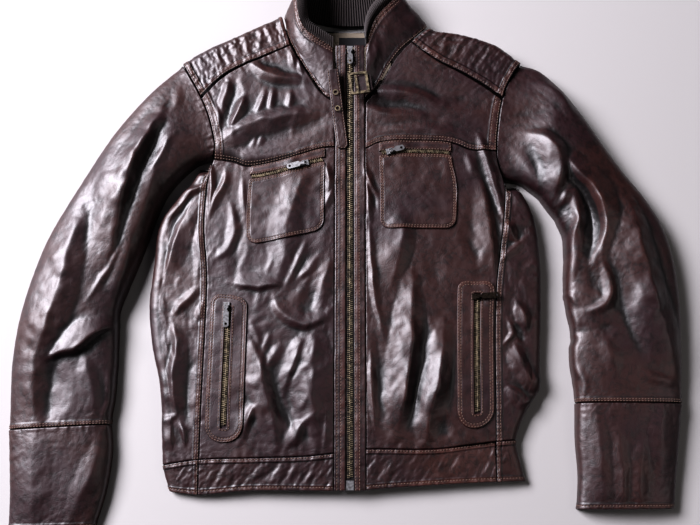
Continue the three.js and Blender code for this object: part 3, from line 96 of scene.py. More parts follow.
ARMHOLE = {
    "left": ((-238, 284), (-227, 265), (-211, 236), (-199, 209), (-191, 182), (-187, 160), (-190, 146)),
    "right": ((243, 285), (231, 268), (218, 243), (210, 215), (206, 190), (203, 165), (203, 140),
              (211, 116)),
}
SHOULDER_SEAM = {
    "left": ((-84, 308), (-120, 291), (-155, 275), (-182, 257), (-207, 229)),
    "right": ((87, 313), (106, 296), (127, 280), (150, 267), (172, 253), (193, 238), (212, 222)),
}
SHOULDER_EDGE = {
    "left": ((-98, 358), (-144, 336), (-173, 322), (-197, 311), (-218, 299), (-238, 284)),
    "right": ((116, 337), (135, 333), (158, 330), (187, 322), (215, 310), (243, 285)),
}
NECK_SEAM = {
    "left": ((-32, 223), (-40, 235), (-54, 256), (-68, 279), (-84, 308)),
    "right": ((27, 226), (39, 243), (56, 274), (71, 297), (87, 313)),
}
NECK_END = {
    "left": ((-84, 308), (-91, 333), (-98, 358)),
    "right": ((87, 313), (101, 326), (116, 337)),
}
# Sections: x, y of the outer edge, x, y of the inner edge, and height.
SLEEVE = {
    "left": ((-238, 284, -190, 146, 33), (-262, 262, -213, 138, 38), (-292, 229, -235, 118, 40),
             (-323, 188, -252, 96, 40), (-354, 137, -266, 66, 38), (-380, 90, -276, 33, 38),
             (-404, 42, -286, 0, 38), (-424, -12, -299, -35, 36), (-438, -72, -310, -70, 34),
             (-444, -120, -309, -115, 30), (-445, -165, -309, -160, 28), (-443, -226, -313, -219, 26)),
    "right": ((243, 285, 211, 116, 33), (270, 276, 238, 110, 38), (297, 246, 260, 92, 42),
              (324, 210, 273, 73, 42), (350, 168, 284, 54, 40), (376, 127, 292, 35, 38),
              (404, 88, 295, 12, 38), (426, 48, 292, -22, 38), (438, 2, 290, -52, 36),
              (442, -55, 296, -94, 34), (440, -115, 293, -127, 32), (434, -192, 297, -191, 28)),
}
CUFF = {
    "left": ((-443.5, -226.6, -312.5, -219.6, 28), (-440, -262, -309, -256, 26),
             (-436, -305, -314, -304, 24), (-434, -352, -326, -349, 21)),
    "right": ((434.5, -192.6, 296.5, -191.6, 30), (427, -240, 294, -238, 27),
              (420, -285, 295, -284, 24), (414, -325, 291, -326, 21)),
}
# The collar from the left front end round the back: seam x, y, z and top x, y, z.
COLLAR = (
    (-21.5, 226, 38, -24, 301, 48), (-34, 229, 38, -37, 308, 52), (-51, 254, 38, -50, 315, 56),
    (-68, 281, 38, -61, 323, 58), (-83, 311, 36, -68, 336, 60), (-90, 336, 28, -71, 354, 60),
    (-94, 362, 14, -70, 376, 56), (-76, 367, 4, -58, 396, 42), (-44, 356, 2, -36, 406, 28),
    (0, 350, 2, -2, 410, 22), (46, 354, 2, 34, 408, 26), (84, 361, 4, 60, 399, 36),
    (110, 346, 18, 62, 382, 44), (96, 324, 32, 50, 366, 47), (72, 300, 37, 37, 350, 49),
    (54, 274, 38, 28, 332, 50), (37, 243, 38, 23, 314, 50), (21.5, 227, 38, 22, 301, 48),
)

# Folds: height, reach to the right-hand side of the way it runs, reach to the other side, and x and y
# of each place that it runs through. A valley has a negative height.
BODY_FOLDS = (
    # left front, lower
    (7, 22, 11, -130, -105, -118, -150, -108, -190, -98, -225, -95, -252),
    (-6, 8, 10, -98, -162, -86, -198, -72, -230),
    (4.5, 14, 6, -60, -104, -74, -140, -88, -171),
    (4, 7, 8, -47, -102, -57, -125, -67, -145),
    (6, 22, 9, -46, -160, -52, -182, -64, -207),
    (4.5, 12, 8, -57, -214, -67, -232, -79, -249),
    (3, 8, 7, -92, -117, -105, -138, -118, -160),
    (4, 12, 6, -120, -186, -132, -214, -145, -243),
    (2.5, 8, 7, -114, -165, -124, -174, -134, -182),
    (-5, 10, 8, -41, -28, -50, -52, -62, -79),
    (6, 8, 18, -104, -56, -93, -74, -75, -86, -50, -87, -29, -76),
    (7, 26, 24, -46, -96, -49, -140, -47, -185, -42, -240),
    (3, 8, 8, -30, -188, -31, -220, -33, -250),
    (2, 6, 6, -128, -84, -122, -104, -117, -122),
    (2, 6, 6, -104, -98, -110, -114, -116, -132),
    # left front, upper
    (5, 24, 18, -58, 126, -74, 84, -85, 40, -91, 0, -101, -38),
    (3.5, 9, 6, -61, 22, -74, -12, -89, -39),
    (3, 8, 7, -45, 2, -57, -14, -71, -30),
    (-3, 6, 6, -44, 12, -55, -5, -66, -20),
    (5, 5, 18, -157, -35, -130, -40, -92, -38),
    (4, 9, 7, -161, 76, -157, 40, -165, 12, -186, -2),
    (-4, 8, 7, -152, 60, -154, 10, -156, -38),
    (2.5, 5, 6, -145, 112, -144, 86, -143, 58),
    (3.5, 5, 6, -192, 140, -190, 100, -189, 58),
    (4, 6, 7, -171, 124, -172, 106, -183, 86, -189, 60),
    (2, 6, 5, -104, 6, -108, -10, -113, -27),
    (-2.5, 9, 9, -153, -12, -138, -14, -121, -12),
    (4, 6, 8, -34, 132, -27, 106, -31, 84),
    (3.5, 7, 7, -21, 102, -28, 84, -37, 66),
    (4, 14, 12, -28, -8, -36, -34, -46, -62),
    # left chest
    (5, 11, 12, -141, 279, -118, 265, -90, 258, -66, 254),
    (-4, 9, 9, -130, 282, -100, 272, -74, 266),
    (-3, 8, 8, -118, 250, -90, 249, -64, 246),
    (4, 8, 8, -169, 252, -174, 232, -179, 212),
    (6, 10, 11, -149, 232, -156, 208, -165, 184),
    (-4, 8, 7, -159, 252, -165, 226, -172, 198),
    (3.5, 7, 8, -119, 242, -124, 222, -131, 198),
    (3, 6, 7, -106, 241, -109, 222, -113, 204),
    (3, 6, 6, -82, 240, -84, 224, -87, 208),
    (3, 5, 5, -187, 222, -185, 204, -182, 184),
    (3, 6, 6, -86, 300, -82, 288, -78, 274),
    (2.5, 5, 5, -72, 286, -70, 276, -67, 266),
    (6, 24, 16, -182, 162, -150, 184, -118, 196, -72, 204, -38, 206),
    (-6, 12, 14, -148, 152, -128, 168, -98, 180, -60, 190, -28, 206),
    (2.5, 6, 6, -129, 177, -130, 166, -133, 156),
    (2.5, 6, 6, -117, 177, -121, 167, -126, 157),
    # right chest
    (5, 14, 14, 36, 237, 62, 238, 98, 229, 128, 217),
    (-5, 13, 12, 42, 251, 90, 244, 132, 232, 170, 225, 198, 217),
    (4, 12, 12, 14, 211, 34, 208, 72, 201, 114, 198),
    (-3, 10, 10, 30, 222, 70, 217, 110, 211),
    (3, 12, 12, 34, 180, 90, 182, 150, 180),
    (5, 8, 9, 177, 178, 181, 164, 184, 150, 191, 118, 200, 88, 207, 58),
    (-5, 7, 6, 178, 150, 186, 116, 196, 82, 204, 58),
    (3.5, 5, 6, 188, 150, 197, 112, 205, 80),
    # right front
    (3, 6, 8, 162, 150, 166, 134, 171, 116),
    (5, 18, 8, 180, 104, 185, 60, 189, 10, 192, -30),
    (3.5, 5, 6, 22, 148, 21, 122, 28, 104, 38, 82, 41, 58),
    (3.5, 5, 6, 21, 112, 23, 84, 28, 50),
    (-4, 7, 6, 31, 112, 37, 88, 42, 66),
    (-3, 9, 9, 109, 14, 112, -8, 116, -32),
    (-3, 9, 9, 159, 54, 162, 26, 166, -4),
    (6, 26, 14, 66, 70, 70, 34, 66, 0, 56, -34),
    (3, 5, 6, 27, 44, 30, -10, 33, -58, 41, -104),
    (10, 30, 16, 84, -30, 84, -90, 76, -160, 60, -232),
    (-6, 9, 9, 98, -84, 95, -136, 88, -180, 76, -226),
    (9, 22, 16, 124, -92, 120, -140, 110, -190, 94, -244),
    (3, 7, 6, 108, -158, 117, -180, 126, -206),
    (-4, 10, 10, 108, -212, 118, -224, 128, -234),
    (3.5, 6, 7, 25, -128, 27, -170, 33, -218),
    (-4, 8, 8, 35, -108, 38, -156, 43, -206),
    # right side
    (-5, 9, 7, 242, 48, 222, 26, 203, 4),
    (4, 8, 7, 236, 28, 218, 14, 202, -6),
    (5, 14, 9, 206, 52, 216, 38, 224, 20),
    (5, 12, 8, 226, -56, 233, -76, 234, -96),
    (3.5, 5, 6, 209, -80, 216, -98, 203, -116),
    (-4, 7, 7, 216, -84, 224, -98, 232, -112),
    (6, 16, 10, 218, -116, 228, -146, 246, -182),
    (4, 10, 9, 206, -172, 216, -184, 228, -198),
    # left side
    (5, 6, 9, -195, 106, -225, 86, -248, 54),
    (5, 6, 20, -211, 84, -226, 54, -240, 12, -247, -22),
    (-5, 7, 7, -203, 92, -224, 66, -242, 36),
    (4, 6, 6, -253, -28, -263, -60, -262, -92, -255, -132),
    (3, 8, 7, -200, -38, -218, -58, -236, -80),
    (5, 8, 20, -236, -84, -228, -110, -235, -150, -230, -186, -226, -206),
    (-5, 10, 8, -214, -106, -214, -160, -210, -228),
    (4, 5, 5, -226, -207, -236, -213, -238, -228, -232, -250),
    (3.5, 5, 5, -222, -214, -217, -230, -213, -247),
    (2.5, 7, 7, -205, 52, -205, 10, -204, -32),
    (2.5, 5, 5, -195, -58, -199, -72, -203, -87),
)
SLEEVE_FOLDS = (
    # left
    (-6, 13, 14, -248, 243, -270, 218, -292, 192, -308, 164, -326, 134),
    (12, 50, 12, -262, 206, -276, 172, -290, 140, -300, 100, -310, 50, -320, 10),
    (-6, 9, 9, -257, 192, -267, 166, -277, 140, -283, 114),
    (6, 26, 16, -262, 132, -272, 90, -284, 50, -296, 4),
    (-3.5, 6, 6, -293, 106, -297, 82, -304, 58, -312, 8),
    (3, 6, 7, -243, 172, -256, 148, -276, 108),
    (3, 8, 8, -239, 252, -242, 234, -246, 212),
    (2.5, 5, 5, -268, 92, -276, 84, -264, 76),
    (-4, 12, 10, -343, 112, -350, 60, -356, 14),
    (10, 46, 22, -361, 62, -374, 12, -380, -38, -391, -80, -403, -120, -408, -152, -407, -216),
    (-8, 14, 16, -392, -128, -388, -170, -386, -216),
    (5, 16, 8, -290, 36, -300, -10, -310, -62),
    (3, 6, 6, -298, 42, -320, -10, -346, -62),
    (3, 6, 6, -340, -85, -347, -93, -353, -101),
    (9, 24, 4, -306, -88, -334, -106, -360, -124, -404, -140),
    (4, 14, 10, -345, -128, -338, -165, -332, -205),
    (3, 5, 5, -315, -148, -317, -196, -322, -216),
    # right
    (10, 26, 12, 240, 178, 266, 166, 286, 142, 284, 112, 276, 86),
    (9, 8, 26, 286, 138, 297, 134, 311, 114, 326, 90, 338, 64, 342, 44, 338, 18),
    (-16, 11, 7, 300, 108, 316, 88, 325, 56, 326, 26, 320, -6),
    (-6, 14, 14, 214, 202, 246, 205, 281, 212),
    (4, 10, 9, 219, 162, 232, 140, 249, 110, 258, 86),
    (4, 5, 6, 209, 116, 226, 110, 241, 100, 254, 85),
    (-5, 9, 8, 243, 168, 256, 136, 269, 106),
    (4, 14, 12, 256, 256, 290, 234, 302, 214, 309, 194),
    (8, 8, 12, 304, 88, 307, 60, 302, 34, 296, 0, 290, -36),
    (-6, 8, 7, 294, 76, 287, 62, 281, 46),
    (3, 6, 6, 293, 90, 290, 82, 287, 74),
    (6, 9, 11, 339, -2, 344, -34, 340, -55, 328, -68, 309, -73),
    (-5, 12, 12, 318, -8, 322, -30, 316, -48),
    (11, 36, 20, 378, 76, 386, 22, 393, -20, 401, -60, 411, -100, 424, -150),
    (-6, 16, 12, 346, 10, 352, -30, 364, -80, 384, -146),
    (3, 5, 5, 285, -42, 297, -50, 301, -61),
    (3, 5, 6, 289, -60, 299, -84, 297, -102),
    (-5, 5, 5, 286, -112, 300, -106),
    (-4, 8, 8, 296, -99, 330, -96, 372, -94),
    (3, 5, 6, 291, -116, 297, -120, 295, -146, 304, -168, 303, -190),
    (3, 12, 12, 330, -112, 338, -130, 346, -152),
    (3, 9, 9, 384, -158, 410, -166, 430, -160),
)
CUFF_FOLDS = (
    (3, 8, 8, -440, -262, -412, -252, -388, -244),
    (5, 14, 12, -318, -236, -330, -280, -350, -335),
    (3, 7, 7, -436, -290, -412, -282, -395, -275),
    (5, 26, 22, -406, -225, -402, -300, -400, -350),
    (4, 13, 10, 344, -226, 347, -270, 343, -322),
    (4, 12, 10, 376, -240, 369, -278, 366, -322),
    (3.5, 14, 12, 316, -204, 322, -250, 318, -318),
    (4, 14, 14, 404, -196, 400, -240, 396, -290),
)

# What is sewn on lies smoother: middle, half width and height, and how smooth.
CALM = (
    (-86, 78, 52, 58, 0.5), (91, 100, 53, 60, 0.85), (-159, -144, 24, 98, 0.8), (166, -132, 26, 94, 0.8),
    (0, 0, 20, 330, 0.9),
)


# ---------------------------------------------------------------- numbers
def mix(a, b, t):
    return a + (b - a) * t


def ease(v):
    t = np.clip(v, 0, 1)
    return t * t * (3 - 2 * t)


def cubic(a, b, slope_a, slope_b, t):
    """From a to b, leaving and arriving at the given slopes."""
    return ((2 * t**3 - 3 * t**2 + 1) * a + (t**3 - 2 * t**2 + t) * slope_a
            + (3 * t**2 - 2 * t**3) * b + (t**3 - t**2) * slope_b)


def lengths(line):
    """Length from a line's start to each of its points."""
    return np.concatenate([[0], np.cumsum(np.linalg.norm(np.diff(line, axis=0), axis=1))])


def sample(line, length, at):
    """Points at given lengths along a line."""
    return np.stack([np.interp(at, length, line[:, k]) for k in range(line.shape[1])], -1)


def bell(v):
    return np.exp(-(v**2))


def curve(points, at):
    """Smooth value of a table of (place, value) rows at many places."""
    rows = np.array(points, float)
    xs, ys = rows[:, 0], rows[:, 1:]
    at = np.asarray(at, float)
    last = len(xs) - 1
    i = np.clip(np.searchsorted(xs, at, "left") - 1, 0, last - 1)
    before, after = np.maximum(i - 1, 0), np.minimum(i + 2, last)
    span = xs[i + 1] - xs[i]
    t = np.clip((at - xs[i]) / span, 0, 1)[..., None]
    a, b = ys[i], ys[i + 1]
    slope_a = (b - ys[before]) / (xs[i + 1] - xs[before])[..., None]
    slope_b = (ys[after] - a) / (xs[after] - xs[i])[..., None]
    span = span[..., None]
    value = cubic(a, b, span * slope_a, span * slope_b, t)
    return value[..., 0] if value.shape[-1] == 1 else value


def row_at(rows, place):
    """Smooth row of a table by row number, its columns last."""
    return curve([(i, *row) for i, row in enumerate(rows)], place)


def run(points, reverse=False):
    """A smooth plan curve through points, by its share of length."""
    p = np.array(points[::-1] if reverse else points, float)
    samples = np.linspace(0, len(p) - 1, 60 * (len(p) - 1) + 1)
    i = np.minimum(samples.astype(int), len(p) - 2)
    t = (samples - i)[:, None]
    p0, p1, p2, p3 = p[np.maximum(i - 1, 0)], p[i], p[i + 1], p[np.minimum(i + 2, len(p) - 1)]
    q = cubic(p1, p2, (p2 - p0) / 2, (p3 - p1) / 2, t)
    length = lengths(q)
    length /= length[-1]
    return lambda share: sample(q, length, share)


def noise(x, y, size, seed, stretch=1.0, angle=0.0):
    """Smooth noise from -1 to 1 with bumps about size apart, stretched along an angle in degrees."""
    table = np.random.default_rng(seed).uniform(-1, 1, (64, 64))
    c, s = math.cos(math.radians(angle)), math.sin(math.radians(angle))
    u, v = (x * c + y * s) / (size * stretch), (y * c - x * s) / size
    i, j = np.floor(u).astype(int), np.floor(v).astype(int)
    fu, fv = ease(u - i), ease(v - j)
    low = mix(table[i % 64, j % 64], table[(i + 1) % 64, j % 64], fu)
    high = mix(table[i % 64, (j + 1) % 64], table[(i + 1) % 64, (j + 1) % 64], fu)
    return mix(low, high, fv)


def graded(length, fine, coarse, reach=16.0):
    """Shares of a length, close together near both ends."""
    s = np.linspace(0, length, 3000)
    spacing = fine + (coarse - fine) * ease((np.minimum(s, length - s) - reach * 0.4) / reach)
    count = np.concatenate([[0], np.cumsum((s[1] - s[0]) / spacing[1:])])
    return np.interp(np.linspace(0, count[-1], int(count[-1]) + 2), count, s) / length


def patch(bottom, top, left, right, u, v):
    """Four-sided patch between plan curves: u along bottom and top, v along left and right."""
    low, high, first, last = bottom(u), top(u), left(v), right(v)
    zero, one = np.zeros_like(u), np.ones_like(u)
    u, v = u[..., None], v[..., None]
    corners = ((1 - u) * (1 - v) * bottom(zero) + u * (1 - v) * bottom(one)
               + (1 - u) * v * top(zero) + u * v * top(one))
    return (1 - v) * low + v * high + (1 - u) * first + u * last - corners


# ---------------------------------------------------------------- fold fields
FIELD_X, FIELD_Y = -475, -390
GRID_Y, GRID_X = np.mgrid[FIELD_Y:430:1.0, FIELD_X:475:1.0]
WARP_X = GRID_X + 3.0 * noise(GRID_X, GRID_Y, 47, 1) + 1.5 * noise(GRID_X, GRID_Y, 17, 2)
WARP_Y = GRID_Y + 3.0 * noise(GRID_X, GRID_Y, 43, 3) + 1.5 * noise(GRID_X, GRID_Y, 15, 4)
SWELL = 1 + 0.18 * noise(GRID_X, GRID_Y, 26, 5) + 0.1 * noise(GRID_X, GRID_Y, 11, 6)
VALLEY_WIDE, VALLEY_DEEP = 1.5, 0.6  # valleys are wider and less deep than ridges are high
BROAD = 7  # what is smaller than this is a small fold


def blurred(field, reach):
    """A map with everything smaller than reach smoothed away."""
    fy = np.fft.fftfreq(field.shape[0])[:, None]
    fx = np.fft.rfftfreq(field.shape[1])[None, :]
    weight = np.exp(-2 * (math.pi * reach) ** 2 * (fx**2 + fy**2))
    return np.fft.irfft2(np.fft.rfft2(field) * weight, field.shape)


class Field:
    """Heights of the folds over the plan. Folds meet in sharp creases, as stiff leather's do."""

    def __init__(self, rise, spread):
        self.rise, self.spread = rise, spread
        self.ridges = np.zeros(GRID_X.shape)
        self.valleys = np.zeros(GRID_X.shape)

    def fold(self, high, right, left, *points):
        line = np.array(points, float)
        long = np.linalg.norm(np.diff(line, axis=0), axis=1).sum()
        path = run(points)(np.linspace(0, 1, max(5, int(long / 7))))
        reach = 1.5 * self.spread * max(left, right) + 6
        i0, j0 = (int(v) for v in path.min(0) - reach - (FIELD_X, FIELD_Y))
        i1, j1 = (int(v) for v in path.max(0) + reach - (FIELD_X, FIELD_Y))
        part = np.s_[max(0, j0):max(0, j1), max(0, i0):max(0, i1)]
        x, y = WARP_X[part], WARP_Y[part]
        near = np.full(x.shape, 1e9)
        off, along = np.zeros(x.shape), np.zeros(x.shape)
        start = 0.0
        for a, b in zip(path[:-1], path[1:]):
            d = b - a
            span = np.hypot(*d)
            t = np.clip(((x - a[0]) * d[0] + (y - a[1]) * d[1]) / span**2, 0, 1)
            gap = np.hypot(x - a[0] - t * d[0], y - a[1] - t * d[1])
            side = np.sign(d[0] * (y - a[1]) - d[1] * (x - a[0]))
            closer = gap < near
            near = np.where(closer, gap, near)
            off = np.where(closer, side, off)
            along = np.where(closer, start + t * span, along)
            start += span
        wide = np.where(off > 0, left, right)
        taper = np.sin(math.pi * np.clip(along / start, 0.03, 0.97)) ** 0.65
        wide = wide * self.spread * (VALLEY_WIDE if high < 0 else 1.0)
        tent = taper * np.clip(1 - near / (wide * (0.4 + 0.6 * taper)), 0, 1) * SWELL[part]
        high *= self.rise * (VALLEY_DEEP if high < 0 else 1.0)
        if high > 0:
            self.ridges[part] = np.maximum(self.ridges[part], high * tent)
        else:
            self.valleys[part] = np.minimum(self.valleys[part], high * tent)

    def scatter(self, seed, zones, small):
        """Short folds strewn over each zone: x, y, reach in x and y, angle, its spread, count,
        length, width and height. They add their small share to what is there."""
        kept = self.ridges, self.valleys
        self.ridges, self.valleys = np.zeros(GRID_X.shape), np.zeros(GRID_X.shape)
        rng = np.random.default_rng(seed)
        for x, y, rx, ry, angle, turn, count, long, wide, high in zones:
            for _ in range(count):
                middle = rng.uniform(-1, 1, 2) * (rx, ry) + (x, y)
                a = math.radians(angle + turn * rng.normal())
                half = long / 2 * rng.uniform(0.5, 1.5) * np.array([math.cos(a), math.sin(a)])
                bend = np.array([-half[1], half[0]]) * rng.normal() * 0.22
                rise = high * rng.uniform(0.35, 1.1) * (1 if rng.random() < 0.65 else -0.8)
                right, left = wide * rng.uniform(0.6, 1.6, 2)
                self.fold(rise, right, left, middle - half, middle + bend, middle + half)
        self.ridges, self.valleys = kept[0] + self.ridges * small, kept[1] + self.valleys * small

    def finish(self, soft):
        """Rounds the creases, calms what is sewn on, and adds the map of relief."""
        whole = self.ridges + self.valleys
        shape, smooth = blurred(whole, soft), blurred(whole, BROAD)
        for x, y, rx, ry, share in CALM:
            inside = ease((rx - np.abs(GRID_X - x)) / 10 + 0.5) * ease((ry - np.abs(GRID_Y - y)) / 10 + 0.5)
            shape = mix(shape, smooth, share * inside)
        self.maps = np.stack([shape, (shape - blurred(shape, BROAD)) / 1.4])
        return self

    def level(self, x, y, high, reach):
        """Brings the map to a height round a place, where metal sits on the leather."""
        weight = np.exp(-((np.hypot(GRID_X - x, GRID_Y - y) / reach) ** 4))
        self.maps[0] = mix(self.maps[0], high, weight)

    def at(self, x, y, which=0):
        u = np.clip(x - FIELD_X, 0, GRID_X.shape[1] - 1.01)
        v = np.clip(y - FIELD_Y, 0, GRID_X.shape[0] - 1.01)
        i, j = u.astype(int), v.astype(int)
        fu, fv = u - i, v - j
        m = self.maps[which]
        return mix(mix(m[j, i], m[j, i + 1], fu), mix(m[j + 1, i], m[j + 1, i + 1], fu), fv)

    def relief(self, x, y):
        """How far a place stands proud of what is round it."""
        return self.at(x, y, 1)


# Small folds over the body and the sleeves, by zone.
BODY_ZONES = (
    (-95, 225, 75, 45, 84, 14, 26, 34, 6, 1.1),
    (110, 205, 85, 45, 172, 12, 12, 50, 9, 0.7),
    (-165, 60, 26, 75, 92, 12, 18, 42, 6, 1.2),
    (-80, 0, 55, 60, 62, 22, 26, 32, 7, 1.2),
    (-75, -95, 50, 45, 58, 30, 26, 36, 7, 1.6),
    (-90, -190, 50, 50, 62, 14, 16, 52, 7, 2.2),
    (-80, -200, 50, 45, 122, 14, 14, 48, 7, 2.2),
    (-45, -60, 18, 160, 80, 18, 16, 30, 6, 1.0),
    (70, 60, 45, 70, 106, 14, 12, 44, 9, 0.6),
    (70, -80, 45, 70, 98, 14, 18, 40, 8, 0.9),
    (75, -190, 50, 50, 96, 18, 24, 34, 7, 1.2),
    (150, 70, 38, 80, 92, 10, 14, 44, 7, 0.8),
    (150, -200, 35, 45, 84, 22, 14, 26, 6, 1.1),
    (-228, 0, 24, 90, 100, 22, 30, 28, 6, 1.3),
    (-224, -160, 24, 90, 84, 26, 34, 26, 6, 1.4),
    (228, 20, 24, 80, 74, 24, 34, 26, 6, 1.5),
    (226, -120, 24, 90, 96, 26, 40, 26, 6, 1.6),
)
SLEEVE_ZONES = (
    (-245, 215, 45, 60, 58, 16, 26, 36, 7, 1.2),
    (-320, 130, 55, 60, 58, 14, 26, 40, 8, 1.2),
    (-350, 10, 65, 60, 66, 18, 32, 36, 7, 1.3),
    (-360, -100, 65, 40, 22, 20, 36, 32, 6, 1.4),
    (-375, -180, 60, 45, 62, 34, 26, 30, 6, 1.0),
    (250, 190, 45, 65, 150, 16, 24, 40, 7, 1.2),
    (310, 120, 50, 60, 118, 18, 28, 38, 7, 1.4),
    (350, 30, 55, 60, 112, 16, 34, 36, 7, 1.4),
    (360, -60, 65, 50, 106, 28, 34, 32, 7, 1.4),
    (365, -150, 60, 40, 108, 32, 28, 30, 7, 1.1),
)
CUFF_ZONES = (
    (-378, -285, 60, 60, 62, 36, 30, 28, 6, 1.1),
    (360, -260, 60, 60, 80, 36, 30, 28, 6, 1.1),
)


def field(folds, zones, seed, rise, spread, small, soft):
    made = Field(rise, spread)
    for row in folds:
        made.fold(*row[:3], *zip(row[3::2], row[4::2]))
    made.scatter(seed, zones, small)
    return made.finish(soft)


BODY = field(BODY_FOLDS, BODY_ZONES, 11, 1.15, 1.2, 0.8, 0.8)
ARMS = field(SLEEVE_FOLDS, SLEEVE_ZONES, 12, 1.3, 1.25, 0.4, 1.5)
WRISTS = field(CUFF_FOLDS, CUFF_ZONES, 13, 1.0, 1.3, 0.4, 1.5)


def crown(x, y):
    """The body's height without its folds, lower towards its sides."""
    return curve(CROWN, y) - 7 * (x / 250) ** 2


# The pockets' sliders and pulls sit at the solids' height: the leather comes to these depths under them.
UNDER_SLIDER = {"chest_zip_left": 2.7, "chest_zip_right": 2.6, "hand_zip_left": 2.7, "hand_zip_right": 2.8}
UNDER_PULL = 3.2
for zip_name, gap in UNDER_SLIDER.items():
    for part, under, reach in (("pull", UNDER_PULL, 18), ("slider", gap, 14)):
        low_corner, high_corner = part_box(f"{zip_name}_{part}")
        spot_x, spot_y, _ = (np.array(low_corner) + np.array(high_corner)) / 2 / MM - SHIFT
        BODY.level(spot_x, spot_y, low_corner.z / MM - under - crown(spot_x, spot_y), reach)


def front_height(x, y):
    return crown(x, y) + BODY.at(x, y)


def zip_height(x, y):
    """The strips and the zip run on up over the standing front of the collar."""
    return front_height(x, np.minimum(y, COLLAR_FOOT_Y)) + 14 * ease((y - 220) / 85)


# ---------------------------------------------------------------- meshes
def add_mesh(name, slot, points, faces, relief=None, smooth=True):
    """An object of quads or triangles from points in layout millimetres."""
    mesh = bpy.data.meshes.new(name)
    points = np.asarray(points, float).reshape(-1, 3)
    faces = np.asarray(faces, np.int32)
    mesh.vertices.add(len(points))
    mesh.vertices.foreach_set("co", ((points + SHIFT) * MM).ravel().astype(np.float32))
    mesh.loops.add(faces.size)
    mesh.loops.foreach_set("vertex_index", faces.ravel())
    mesh.polygons.add(len(faces))
    mesh.polygons.foreach_set("loop_start", np.arange(0, faces.size, faces.shape[1], dtype=np.int32))
    mesh.polygons.foreach_set("use_smooth", np.full(len(faces), smooth))
    mesh.update(calc_edges=True)
    if relief is not None:
        mesh.attributes.new("relief", "FLOAT", "POINT").data.foreach_set(
            "value", np.asarray(relief, np.float32).ravel())
    obj = bpy.data.objects.new(name, mesh)
    bpy.context.scene.collection.objects.link(obj)
    obj.data.materials.append(MATERIALS[slot])
    return obj


def quads(rows, columns, closed=False):
    """Faces of a grid; a closed one joins its last column to its first."""
    r = np.arange(rows - 1)[:, None]
    c = np.arange(columns if closed else columns - 1)[None, :]
    a = r * columns + c
    b = r * columns + (c + 1) % columns
    return np.stack([a, b, b + columns, a + columns], -1).reshape(-1, 4)


def unit(v):
    return v / np.maximum(np.linalg.norm(v, axis=-1, keepdims=True), 1e-9)


def steps(points, axis):
    """Length from the first row or column to each, along the grid."""
    d = np.linalg.norm(np.diff(points, axis=axis), axis=-1)
    return np.concatenate([np.zeros_like(np.take(d, [0], axis)), np.cumsum(d, axis)], axis)


def normals(points):
    return unit(np.cross(np.gradient(points, axis=1), np.gradient(points, axis=0)))


# How deep a row of stitches lies, and how much darker or more worn leather is there and at edges.
ROW_DEEP, ROW_TONE, EDGE_TONE = 0.4, 0.25, 0.9
# The grid's axis that leads away from each edge, and whether the edge is at its far end.
EDGES = {"u0": (1, False), "u1": (1, True), "v0": (0, False), "v1": (0, True)}


def under_stitches(up, tone, depth, rows):
    """Lowers a surface and darkens it under rows of stitches, by the distance from an edge."""
    for row in rows:
        up = up - ROW_DEEP * bell((depth - row) / 0.8)
        tone = tone - ROW_TONE * bell((depth - row) / 0.7)
    return up, tone


class Seam:
    """How a panel's edge is made: a raised lap, rows of stitches and the puckers beside them."""

    def __init__(self, lap=0.0, width=8.0, rows=(), pucker=0.3, pitch=8.0, reach=9.0):
        self.lap, self.width, self.rows = lap, width, rows
        self.pucker, self.pitch, self.reach = pucker, pitch, reach

    def surface(self, off, along, seed):
        """How far the seam lifts the leather, and its tone: worn along the lap, dark in the seam, and a
        painted shade line at the lap's foot.
        """
        ruck = noise(along, off * 0.25, self.pitch * 0.55, seed)
        ruck = ruck + 0.5 * noise(along, off * 0.3, self.pitch * 0.3, seed + 1)
        up = self.lap * (1 - ease((off - self.width) / 1.6)) - bell(off / 0.7)
        up = up + self.pucker * ruck * bell(off / self.reach)
        tone = -EDGE_TONE * bell(off / 0.8)
        if self.lap:
            tone = tone + EDGE_TONE * (1 - ease((off - self.width + 1) / 1.5)) * ease(off / 2)
            # A dark line just past the lap's edge: painted shade at the foot of its step.
            tone = tone - EDGE_TONE * bell((off - self.width - 1.2) / 0.9)
        return under_stitches(up, tone, off, self.rows)


PLAIN = Seam(pucker=0.2)
JUST_OVER_FLOOR = 0.05
SWAPPED = {"u0": "u1", "u1": "u0"}
STITCHES = []
STITCH_PITCH, STITCH_HALF, STITCH_THICK, STITCH_FLAT = 4.0, 1.5, 0.55, 0.4


def offset_line(points, edge, off):
    """The line on a grid that runs off millimetres inside one of its edges, and its normals."""
    axis, far = EDGES[edge]
    grid = np.moveaxis(points, axis, 0)
    up = np.moveaxis(normals(points), axis, 0)
    if far:
        grid, up = grid[::-1], up[::-1]
    along = steps(grid, 0)
    line = np.empty(grid.shape[1:])
    out = np.empty_like(line)
    for k in range(grid.shape[1]):
        line[k], out[k] = sample(grid[:, k], along[:, k], off), sample(up[:, k], along[:, k], off)
    return line, unit(out)


def sew(line, up, trim=2.0):
    """Puts stitches along a line."""
    length = lengths(line)
    at = np.arange(trim, length[-1] - trim, STITCH_PITCH)
    place, ahead = sample(line, length, at), sample(line, length, at + 0.8)
    out = unit(sample(up, length, at))
    seen = (place[:, 2] > 1.5) & (out[:, 2] > -0.2)
    STITCHES.append(((place + 0.22 * out)[seen], unit(ahead - place + 1e-6)[seen], out[seen]))


